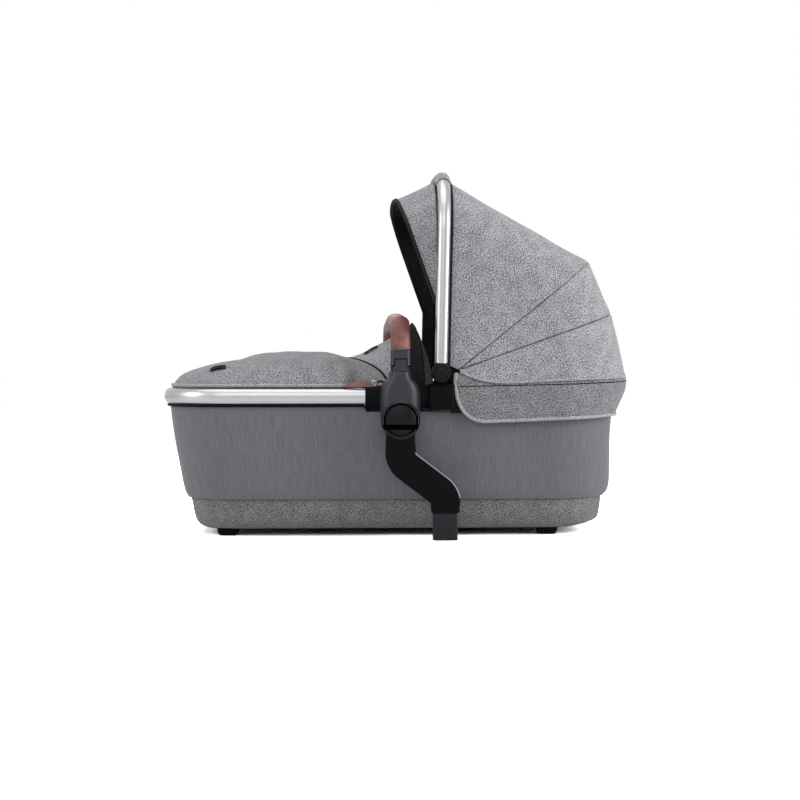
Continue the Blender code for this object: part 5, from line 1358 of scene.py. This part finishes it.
def collar_height(x, across, v):
    """The collar's height at a share of its width."""
    rise = COLLAR_RISE * curve_at(COLLAR_RISE_AT, v) * crown(across, 3.2 - 0.8 * v)
    wave = crease(x, across * 0.2, 0.3, 0.05, 0.0016) * min(v * 8.0, 1.0)
    return APRON_Z + rise + wave * min(rise / CALM, 1.0)


def collar_place(u, v):
    across = across_share(1.0 - u)
    v = max(v, 0.004)
    start, end = collar_span(across)
    x = start + (end - start) * v
    return (x, across * apron_half(x), collar_height(x, across, v))


def shade_band_share(u):
    """Where the collar's band of painted shade starts, as a share of the collar's width."""
    start, end = collar_span(across_share(1.0 - u))
    return (SHADE_BAND_FROM - start) / (end - start)


def collar_cloth_place(u, v):
    return collar_place(u, v * shade_band_share(u))


def collar_shade_band_place(u, v):
    share = shade_band_share(u)
    return collar_place(u, share + (1.0 - share) * v)


apron = cloth("apron_cloth", APRON_COLUMNS, 110, apron_place, "seh", edge_rows=True)
collar = cloth("collar_cloth", APRON_COLUMNS, 36, collar_cloth_place, edge_rows=True)
# the collar's upper band is dark lining cloth: painted shade from the hood
band = cloth("collar_shade_band", APRON_COLUMNS, 14, collar_shade_band_place, edge_rows=True)
# the apron wears a darker copy of the collar's heather, as painted shade
for sheet, node, finish in ((apron, "apron", heather_apron_painted_shade), (collar, "apron_collar", heather)):
    thicken(sheet, CLOTH_THICK, lined=True)
    fit(sheet, finish, FLECKED, "cot", node, inner=lining)
edge_shares = [1.0 - i / APRON_COLUMNS for i in range(APRON_COLUMNS + 1)]
collar_edge = [Vector(collar_place(u, 1.0)) for u in edge_shares]
valley_line = [Vector(apron_place(u, 1.0)) + Vector((0.0, 0.0, 0.0004)) for u in edge_shares]
for name, line, radius in (("collar_piping", collar_edge, 0.0017), ("crease_piping", valley_line, 0.0019)):
    fit(corded(name, line, radius), webbing, DARK, "cot")
sewn_sheet(band, CLOTH_THICK, lining, FLECKED, "cot", on=["collar_cloth"], inner=lining)
print("apron and collar placed")

# %% [markdown]
# ## Bow sleeve
# Where a hand pulls the hood forward, the bow is wrapped in the hood's own cloth. The sleeve is a sheet rolled
# round the crown of the bow and sewn along its lower side.

# %% Roll the sleeve round the bow
def below(slope):
    """The way at right angles to an arch of a slope, on its lower side."""
    turn = math.radians(slope)
    return Vector((math.sin(turn), 0.0, -math.cos(turn)))


def rolled(name, points, slope, radius, columns, wrinkle, rows):
    """A sheet rolled round an arch's line and sewn below it."""
    line = even_steps(points, columns)
    side_way = below(slope)

    def place(u, v):
        i = round(u * columns)
        along = (line[min(i + 1, columns)] - line[max(i - 1, 0)]).normalized()
        turn = -math.pi / 2 - 2.0 * math.pi * v
        end = 0.0007 * max(1.0 - min(u, 1.0 - u) / 0.02, 0.0)
        far = radius + crease(line[i].y, v * 0.1, 0.7, 0.016, wrinkle) - end
        return line[i] + (side_way * math.cos(turn) + side_way.cross(along).normalized() * math.sin(turn)) * far

    piece = cloth(name, columns, rows, place, "lhse")
    merge_doubles(piece)
    return piece


bow_line = arch_points(PIVOT, BOW_SLOPE, *BOW_SIZES, 800)
on_crown = [point for point in bow_line if abs(point.y) < 0.170]
bow_sleeve = rolled("bow_sleeve_cloth", on_crown, BOW_SLOPE, 0.0134, 100, 0.0004, 24)
sewn_sheet(bow_sleeve, ROLLED_THICK, heather, FLECKED, "hood_front", "bow_sleeve", on=["hood_bow_tube"])
print("bow sleeve rolled")

# %% [markdown]
# ## Piping of the hood
# A black cord is sewn into the front edge of the hood, from hinge to hinge behind the bow, and a cloth hem
# runs round the visor's wire.

# %% Sew the cords
front_cord_line = arch_points(
    (PIVOT.x + 0.0142, 0.0, 0.300), BOW_SLOPE, 0.2068, 0.3487, 0.0905, start=0.0060, count=120
)
fit(corded("hood_front_piping", front_cord_line, 0.0025), webbing, DARK, "hood_front")
visor_hem = rolled("visor_hem", visor_front_line, VISOR_SLOPE, 0.0030, 160, 0.0002, 10)
sewn_sheet(visor_hem, ROLLED_THICK, lining, DARK, "visor", "visor_wire", on=["visor_panel"])
print("front piping and visor hem sewn")

# %% [markdown]
# ## Hood seams
# Two lines run round the hood just above the skirt: the hood's hem, which dips between the hinge and the back,
# and below it the zip under its flap. The hem stands a little proud of the skirt, as the real flap does.

# %% The hem flap over the zip
def flap_place(u, v):
    at = on_line(skirt_line, 0.009 + 0.982 * (1.0 - u))
    back, _, out = hood_side(at)
    lift = -0.0012 + (0.0040 - 0.0014 * back) * v**0.6 + crease(at.x, at.y, v * 0.05, 0.03, 0.0003)
    moved = at + out.normalized() * lift
    return (moved.x, moved.y, curve_at(HEM_HEIGHTS, at.x) + 0.0100 * (1.0 - v))


flap = cloth("zip_flap", SKIRT_COLUMNS, 8, flap_place, "h")
sewn_sheet(flap, ROLLED_THICK, heather, FLECKED, "cot", on=["hood_skirt_cloth"])
zip_points = []
for i in range(121):
    at = on_line(skirt_line, 0.008 + 0.984 * i / 120)
    back, _, out = hood_side(at)
    zip_points.append(at + out.normalized() * 0.0020 - Vector((0.0, 0.0, 0.0072 - 0.0040 * back * back)))
fit(corded("zip_line", zip_points, 0.0009), webbing, DARK, "cot")
print("flap and zip line sewn")

# %% [markdown]
# ## Handle ends
# The grip's black ends stand on the hubs. Each carries a release tab shaped like an upside-down T, with a thin
# gap round it, which runs on to both sides. The end is a rounded block; the T is cut out of it a little larger,
# and the tab itself fills it.

# %% Shape the ends and their tabs
# both outlines are half of a T, from the middle of its foot to the middle of its top
T_HALF = ((0.0146, 0.0), (0.0146, 0.0072), (0.0098, 0.0092), (0.0098, 0.0208))
RECESS_HALF = (
    (0.0163, -0.0018), (0.0163, 0.0068), (0.0190, 0.0068), (0.0190, 0.0088), (0.0115, 0.0104), (0.0115, 0.0226),
)


def t_outline(half, sign):
    """Both halves of a T; heading x across points up on one side and down on the other."""
    return [(x, z * -sign) for x, z in [(-half[0][0], half[0][1]), *half, *((-x, z) for x, z in half[:0:-1])]]


for side, sign in SIDES:
    out = (0.0, sign, 0.0)
    end = swept(
        "handle_end_cap_" + side, rounded(0.0345, 0.0258, 0.0075), (HUB_X, sign * HANDLE_Y, 0.2984), UP, X,
        (0.0100, 0.0290, (1.012, 1.005)),
    )
    round_edges(end, 0.0009)
    dress(end, hub_plastic)
    recess_at, tab_at = (HUB_X, sign * 0.2235, 0.2990), (HUB_X, sign * 0.2268, 0.2990)
    # the T's gap is cut with its faces painted near black, as shade
    cut_out(end, swept("recess_tool", t_outline(RECESS_HALF, sign), recess_at, out, X, (0.0110,)))
    tab = swept("release_tab_" + side, t_outline(T_HALF, sign), tab_at, out, X, (0.0044,))
    round_edges(tab, 0.0006, angle=40.0)
    dress(tab, hub_plastic)
    join(end, "handle", "handle_end_" + side)
    join(tab, "tab_" + side, "handle_tab_" + side)
print("handle ends and tabs shaped")

# %% [markdown]
# ## Hood hinges
# A clamp holds each hinge on the rim. It has a lid line near its top and a lug that stands up beside the bow's
# end. The bow's end is a turned disc with a ring groove, and the pin's head sits in its middle.

# %% Clamps, lugs and discs
CLAMP_PATH = (
    0.0012, (1.055, 1.07), 0.0020, (1.030, 1.04), 0.0180, 0.0214, 0.0001, (0.955, 0.94), 0.0010, 0.0001,
    (1.042, 1.05), 0.0012, (0.985, 0.98), 0.0010, (0.96, 0.95),
)
LUG_OUTLINE = arc((0.0, 0.0), 0.012, 0.0, 180.0, 18) + [(-0.012, -0.022), (0.012, -0.022)]
DISC_PROFILE = (
    (0.0, 0.2048), (0.0160, 0.2048), (0.0170, 0.2058), (0.0170, 0.2240), (0.0166, 0.2256), (0.0156, 0.2266),
    (0.0146, 0.2270), (0.0142, 0.2262), (0.0136, 0.2262), (0.0132, 0.2272), (0.0090, 0.2277), (0.0, 0.2278),
)
PIN_PROFILE = (
    (0.0, 0.1862), (0.0040, 0.1862), (0.0040, 0.2276), (0.0082, 0.2277), (0.0086, 0.2283), (0.0083, 0.2291),
    (0.0070, 0.2297), (0.0034, 0.2298), (0.0030, 0.2290), (0.0, 0.2290),
)
for side, sign in SIDES:
    low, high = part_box("hood_clamp_" + side)
    out = (0.0, sign, 0.0)
    clamp = swept(
        "clamp_" + side, rounded(high.x - low.x - 0.004, 0.0355 - 0.004, 0.0060),
        ((low.x + high.x) / 2, sign * 0.19425, 0.2300), UP, X, CLAMP_PATH,
    )
    lug = swept("lug_" + side, LUG_OUTLINE, (PIVOT.x, sign * 0.199, PIVOT.z), out, (-sign, 0.0, 0.0), (0.0055,))
    round_edges(lug, 0.0006)
    disc = turned("hinge_disc_" + side, DISC_PROFILE, PIVOT, out, 64)
    neck_at = (PIVOT.x, sign * 0.2163, PIVOT.z + 0.006)
    neck = swept("tube_socket_" + side, oval(0.0262, 0.0222), neck_at, UP, X, (0.0120, (0.985, 0.985)))
    round_edges(neck, 0.0007)
    pin = turned("pin_head_" + side, PIN_PROFILE, PIVOT, out, 48)
    fit(clamp, arm_plastic, PLASTIC, "cot", "hood_clamp_" + side)
    fit(lug, arm_plastic, PLASTIC, "cot")
    fit(disc, gloss_plastic, PLASTIC, "hood_front", "bow_end_" + side)
    fit(neck, gloss_plastic, PLASTIC, "hood_front")
    fit(pin, gloss_plastic, PLASTIC, "cot", "pivot_pin_" + side)
print("hinges made")

# %% [markdown]
# ## Inside the hood's mouth
# A dark facing hides the bow from inside, and a dark gusset closes the gap between the hinge and the skirt, so
# that no light and no metal shows there.

# %% Facing and gussets
facing_low, facing_high = (
    arch_points((PIVOT.x + shift, 0.0, 0.300), BOW_SLOPE, 0.2004, 0.3400, 0.086, start=0.004)
    for shift in (-0.0120, 0.0130)
)
facing = hood_panel("bow_facing", facing_low, facing_high, lambda u, v, at: 0.0, 8, 0.0004)
sewn_sheet(facing, LINING_THICK, lining, DARK, "hood_front", on=["hood_front_panel", "visor_panel"])
for side, sign in SIDES:

    def gusset_place(u, v):
        return (0.0880 + 0.0190 * u, sign * (0.2026 + 0.0010 * math.sin(math.pi * v)), 0.3020 - 0.0780 * v)

    gusset = cloth("hinge_gusset_" + side, 10, 30, gusset_place)
    sewn_sheet(gusset, LINING_THICK, webbing, DARK, "cot", on=["hood_skirt_cloth"], offset=0.0)
print("mouth of the hood faced")

# %% [markdown]
# ## Channels and tapes
# Each steel rib runs in a sewn channel under its seam: a narrow strip of the dark lining rolled round the wire.
# Inside, each seam between two panels is bound with a dark tape, which also keeps daylight out of it.

# %% Roll the channels and bind the seams
for name, slope, half, rise, corner, body in (
    ("rib_upper", 36.4, 0.1922, 0.3400, 0.090, "hood_upper"),
    ("rib_lower", 17.9, 0.1975, 0.3345, 0.102, "hood_lower"),
):
    line = arch_points(PIVOT, slope, half, rise, corner, start=0.016)
    channel = rolled(name + "_channel", line, slope, 0.0034, 160, 0.0003, 10)
    lies_on = ["hood_front_panel", "hood_middle_panel", "hood_rear_panel"]
    sewn_sheet(channel, ROLLED_THICK, lining, DARK, body, name, on=lies_on)

TAPE_COLUMNS, TAPE_WIDE = 200, 0.0150
for name, line, slope, body in (
    ("upper_seam_tape", upper_line, UPPER_SLOPE, "hood_upper"),
    ("lower_seam_tape", lower_line, LOWER_SLOPE, "hood_lower"),
    ("rear_seam_tape", rear_line, REAR_SLOPE, "cot"),
):
    side_way = below(slope)
    steady = even_steps(line, TAPE_COLUMNS)

    def tape_place(u, v):
        i = round(u * TAPE_COLUMNS)
        along = (steady[min(i + 1, TAPE_COLUMNS)] - steady[max(i - 1, 0)]).normalized()
        inward = along.cross(side_way).normalized()
        return steady[i] + inward * (0.0042 + 0.0012 * abs(2.0 * v - 1.0)) + side_way * TAPE_WIDE * (v - 0.5)

    tape = cloth(name, TAPE_COLUMNS, 6, tape_place)
    sewn_sheet(tape, 0.0008, lining, DARK, body, on=["hood_middle_panel"], offset=0.0)
print("rib channels rolled and seams bound")

# %% [markdown]
# ## Facing of the collar, in painted shade
# Behind the collar's free edge the same cloth turns down towards the mattress. It is always in the hood's shade,
# and that shade is painted into its near-black colour, so the edge reads as one dark line.

# %% Turn the collar's edge down
def collar_shade_facing_place(u, v):
    x, y, z = collar_place(1.0 - u, 1.0)
    ahead = 0.0150 * math.sin(math.pi / 2 * min(v * 2.0, 1.0))
    ripple = crease(y, z, v * 0.1, 0.03, 0.0012) * min(v * 4.0, 1.0)
    return (x + ahead + ripple, y * (1.0 - 0.008 * v), z - 0.0006 - (z - 0.2700) * v**1.15 * 0.985)


# a dark sheet stands for the shade behind the collar's edge
collar_shade_facing = cloth("collar_shade_facing", APRON_COLUMNS, 26, collar_shade_facing_place, "h")
sewn_sheet(collar_shade_facing, LINING_THICK, heather_painted_shade, FLECKED, "cot", on=["collar_cloth"], held="hung", offset=0.0)
print("collar faced")

# %% [markdown]
# ## Tabs and straps
# A webbing tab lies on the apron and another on the collar; each is a short strip sewn down at both ends. A
# leather tongue and a small steel ring hold the apron's corner to the rim.

# %% Sew the tabs
def apron_top(x, y):
    """The apron's height over a point of the plan."""
    return apron_height(x, y / apron_half(x), (x - APRON_FOOT) / (VALLEY - APRON_FOOT))


def collar_top(x, y):
    """The collar's height over a point of the plan."""
    across = y / apron_half(x)
    start, end = collar_span(across)
    return collar_height(x, across, (x - start) / (end - start))


for name, node, height, sheet in (
    ("apron_strip", "apron_tab", apron_top, "apron_cloth"),
    ("collar_strip", "collar_tab", collar_top, "collar_cloth"),
):
    low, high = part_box(node)

    def strip_place(u, v):
        x, y = low.x + (high.x - low.x) * u, low.y + (high.y - low.y) * v
        return (x, y, height(x, y) + 0.0010 + 0.0024 * math.sin(math.pi * u) ** 0.7)

    strip = cloth(name, 30, 12, strip_place, "lhse")
    sewn_sheet(strip, 0.0014, webbing, DARK, "cot", node, on=[sheet], offset=1.0)


TONGUE_LONG, TONGUE_HALF, TONGUE_BULGE = 0.0520, 0.0064, 0.0006
LEAN_IN, LEAN_UP = 0.62, 0.785


def tongue_place(u, v):
    half = TONGUE_HALF * min((u + 0.02) / 0.6, 1.0) ** 0.6
    low = Vector((-0.1035 + TONGUE_LONG * u, -0.1948, 0.2702 + LEAN_UP * half))
    bulge = Vector((0.0, -LEAN_UP, LEAN_IN)) * TONGUE_BULGE * math.sin(math.pi * u)
    return low + Vector((0.0, LEAN_IN, LEAN_UP)) * half * (2.0 * v - 1.0) + bulge


tongue = cloth("leather_tongue", 40, 8, tongue_place)
sewn_sheet(tongue, 0.0018, leather, "leather", "cot", on=["rim_foot_half"], held="laid", offset=0.0)
clear_selection()
bpy.ops.mesh.primitive_torus_add(
    major_radius=0.0052, minor_radius=0.0010, major_segments=36, minor_segments=10, location=ORIGIN
)
ring = name_new("apron_ring")
edit(ring)
bpy.ops.transform.rotate(value=math.radians(62.0), orient_axis="X", center_override=ORIGIN)
bpy.ops.transform.translate(value=(-0.0482, -0.1925, 0.2772))
merge_doubles(ring)
smooth(ring)
fit(ring, steel, "steel", "cot")
LOOP_POINTS = (
    (-0.0440, -0.1925, 0.2782), (-0.0405, -0.1922, 0.2800), (-0.0365, -0.1915, 0.2815),
    (-0.0330, -0.1900, 0.2795), (-0.0300, -0.1880, 0.2760), (-0.0280, -0.1860, 0.2715),
)
fit(corded("apron_ring_cord", even_steps(LOOP_POINTS, 30), 0.0016), webbing, DARK, "cot")
print("tabs, tongue and ring")

# %% [markdown]
# ## Hem of the apron
# The apron ends in a pale corded hem that runs round the foot just above the rim.

# %% Sew the hem
HEM_Z, HEM_OUT = 0.2735, 0.0002
side_xs = [VALLEY_SIDE - 0.0040 * i for i in range(98)]
side_points = [Vector((x, -apron_half(x) - HEM_OUT, HEM_Z)) for x in side_xs if x > APRON_FOOT]
for i in range(1, 13):
    x = APRON_FOOT + APRON_BEND * (1.0 - math.sin(math.radians(70.0 + 20.0 * i / 12)))
    side_points.append(Vector((x - HEM_OUT, -apron_half(x), HEM_Z)))
hem_line = side_points + [Vector((p.x, -p.y, p.z)) for p in reversed(side_points)]
fit(corded("apron_hem", even_steps(hem_line, 320), 0.0029), heather_pale, FLECKED, "cot")
print("apron hem sewn")

# %% [markdown]
# ## Zip slider, puller and back tab
# The zip's slider hangs at the back under the flap, with a moulded puller that swings. A folded tab on the back
# of the hood is for hanging it up.

# %% Slider, puller and tab
SLIDER_X, BACK_TAB_WEIGHT = 0.4301, 0.55
slider_path = (0.0014, (1.02, 1.05), 0.0042, (1.0, 0.86), 0.0028, (0.7, 0.8))
slider = swept("slider_body", rounded(0.0028, 0.0094, 0.0010), (SLIDER_X, 0.0, 0.2737), UP, X, slider_path)
round_edges(slider, 0.0003)
puller_path = (0.0040, (1.0, 1.15), 0.0030, (1.0, 1.55), 0.0030, (1.1, 1.14))
puller_path += (0.0012, (0.8, 1.0), 0.0012, (1.25, 1.0)) * 3
puller_path += (0.0012, (0.8, 1.0), 0.0090, (1.0, 0.92), 0.0020, (0.8, 0.70))
puller = swept("puller_blade", rounded(0.0019, 0.0052, 0.0008), (SLIDER_X, 0.0, 0.2725), DOWN, X, puller_path)
round_edges(puller, 0.0002)
fit(slider, arm_plastic, PLASTIC, "cot", "zip_slider")
fit(puller, arm_plastic, PLASTIC, "zip_puller", "zip_puller")


def back_tab_place(u, v):
    turn = math.pi * u
    out = Vector((0.85, 0.0, 0.53)) * 0.0085 * math.sin(turn) ** 0.8
    down = Vector((0.53, 0.0, -0.85)) * 0.0055 * -math.cos(turn)
    return Vector((0.3745, 0.016 * (v - 0.5), 0.4630)) + out + down


back_tab = cloth("hood_back_tab", 24, 8, back_tab_place)
thicken(back_tab, 0.0013, 0.0)
dress(back_tab, webbing)
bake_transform(back_tab, "hood_lower", "hood_upper", start=(0.0, 0.0, 0.0), end=(0.0, 0.0, 1.0))
for weight in back_tab.data.attributes["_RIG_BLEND"].data:
    weight.value = BACK_TAB_WEIGHT
print("slider, puller and back tab")

# %% [markdown]
# ## Hub backs, tray and feet
# Behind each hub a flat shell closes it against the wall. Under the lower wall lies a moulded tray with
# stiffening ribs, and four rounded feet stand under it.

# %% Shells, tray and feet
SHELL_PATH = (
    0.0016, (1.06, 1.04), 0.0040, (1.09, 1.0), 0.0340, 0.0070, (0.90, 1.0), 0.0070, (0.72, 1.0), 0.0024, (0.92, 0.9),
)
FOOT_PATH = (
    0.0022, (0.985, 0.985), 0.0040, (0.955, 0.95), 0.0032, (0.945, 0.93), 0.0018, (0.93, 0.91), 0.0010, (0.90, 0.87),
)
COT_MIDDLE = -0.0086


def plan(*insets):
    """The cot's plan about its middle, as an outline that is swept upwards."""
    return [(p.x - COT_MIDDLE, p.y) for p in rim_loop(*insets, 120)[:-1]][::-1]


for side, sign in SIDES:
    shell_at = (HUB_X, sign * 0.1878, 0.2277)
    shell = swept("hub_shell_" + side, rounded(0.0600, 0.0226, 0.0060), shell_at, UP, X, SHELL_PATH)
    round_edges(shell, 0.0007)
    fit(shell, arm_plastic, PLASTIC, "cot", "hub_back_" + side)
    for end in ("foot_end", "head_end"):
        node = end + "_foot_" + side
        at = middle(node)
        foot = swept(node + "_pad", rounded(0.0400, 0.0284, 0.0094, 6), (at.x, at.y, 0.0126), DOWN, X, FOOT_PATH)
        round_edges(foot, 0.0003)
        fit(foot, arm_plastic, PLASTIC, "cot", node)

tray_path = (0.0020, (1.004, 1.008), 0.0060, (1.002, 1.004))
tray = swept("tray_shell", plan(0.063, 0.060, 0.043), (COT_MIDDLE, 0.0, 0.0132), UP, X, tray_path)
fit(tray, arm_plastic, PLASTIC, "cot", "base_tray")
for i in range(7):
    half = 0.110 if i in (0, 6) else 0.132
    rib_at = (COT_MIDDLE - 0.27 + 0.09 * i, -half, 0.0136)
    rib = swept("tray_rib_%d" % i, rounded(0.0060, 0.0030, 0.0008), rib_at, Y, X, (2.0 * half,))
    fit(rib, arm_plastic, PLASTIC, "cot")
print("shells, tray and feet made")

# %% [markdown]
# ## Liner and mattress
# Inside, a quilted cotton liner hangs from the rim and stands round the mattress. The mattress is a padded
# pad: a closed shape, remeshed finely and swollen by the pressure of its filling in a cloth simulation. The
# quilting lines are pressed in afterwards, because remeshing would wipe them out.

# %% Hang the liner
LINER_LEAN = ((1.0, 0.0, 0.0, 0.0), (0.5, 0.5, 0.5, 0.5), (0.0, 1.0, 1.0, 1.0))


def liner_top(x):
    return 0.2476 - 0.0212 * behind_hubs(x)


def quilt(a, b, size):
    """Zero on the lines of a diamond quilting, one between them."""
    return min(abs(math.sin(math.pi * (a + b) / size)), abs(math.sin(math.pi * (a - b) / size))) ** 0.6


def liner_puff(x, y, z, v):
    around = math.atan2(y, x) * 0.26
    return 0.0014 * quilt(around, z, 0.060) * min(v * 10.0, (1.0 - v) * 10.0, 1.0) - 0.0014


liner = ring_cloth(
    "liner_wall", LINER_LEAN, liner_top, 0.0290, (0.054, 0.051, 0.034), (0.0142, 0.0142, 0.0142), 44, liner_puff
)
sewn_sheet(liner, CLOTH_THICK, cotton, "cotton", "cot", "inner_liner", on=["mattress_pad"], held="hung")
print("liner hung")

# %% [markdown]
# The mattress starts a little smaller than its place, because the filling swells it.

# %% Fill the mattress
PRESSURE, MOMENTS, MOST_SWELL = 4.0, 20, 0.005
PAD_TOP, QUILT_DEEP = 0.0618, 0.0032
pad_path = (
    0.0050, (1.010, 1.022), 0.0080, 0.0090, (0.994, 0.988), 0.0060, (0.975, 0.950), 0.0012, (0.93, 0.87),
)
pad = swept("mattress_pad", plan(0.0765, 0.0735, 0.0565), (COT_MIDDLE, 0.0, 0.0272), UP, X, pad_path)
modify(pad, "REMESH", mode="VOXEL", voxel_size=0.0055, use_smooth_shade=True)
start = [vertex.co.copy() for vertex in pad.data.vertices]
swell = pad.modifiers.new("Swell", "CLOTH")
swell.settings.use_pressure = True
swell.settings.uniform_pressure_force = PRESSURE
swell.settings.quality = 6
swell.settings.effector_weights.gravity = 0.0
scene = bpy.context.scene
for moment in range(1, MOMENTS + 1):
    scene.frame_set(moment)
pick(pad)
bpy.ops.object.modifier_apply(modifier="Swell")
scene.frame_set(1)
for vertex, before in zip(pad.data.vertices, start):
    moved = vertex.co - before
    vertex.co = before + moved * min(MOST_SWELL / max(moved.length, MOST_SWELL), 1.0)
for vertex in pad.data.vertices:
    x, y, z = vertex.co
    high = min(max((z - 0.048) / 0.008, 0.0), 1.0)
    vertex.co.z = min(z, PAD_TOP) - QUILT_DEEP * high * (1.0 - quilt(x - COT_MIDDLE, y, 0.090))
modify(pad, "SUBSURF", levels=1)
smooth(pad, 80.0)
fit(pad, cotton, "cotton", "cot", "mattress")
print("mattress filled:", len(pad.data.vertices), "points")

# %% [markdown]
# ## Last finishes
# Small hard parts whose shape is already right stay as the frame has them: the pins, the latches, their cables
# and springs. They get the finish that their material slot asks for.

# %% Finish the frame's own parts
MATERIAL_OF = {
    "black_plastic": arm_plastic, "silver": aluminium, "steel": steel, "cotton": cotton, "dark_fabric": webbing,
    "flecked_fabric": heather, "smooth_fabric": wall_cloth, "leather": leather, "board": board_finish,
}
for name, node in nodes.items():
    for slot in node.material_slots:
        kind = slot.material.name.split(".")[0] if slot.material else None
        if kind in MATERIAL_OF:
            slot.material = MATERIAL_OF[kind]
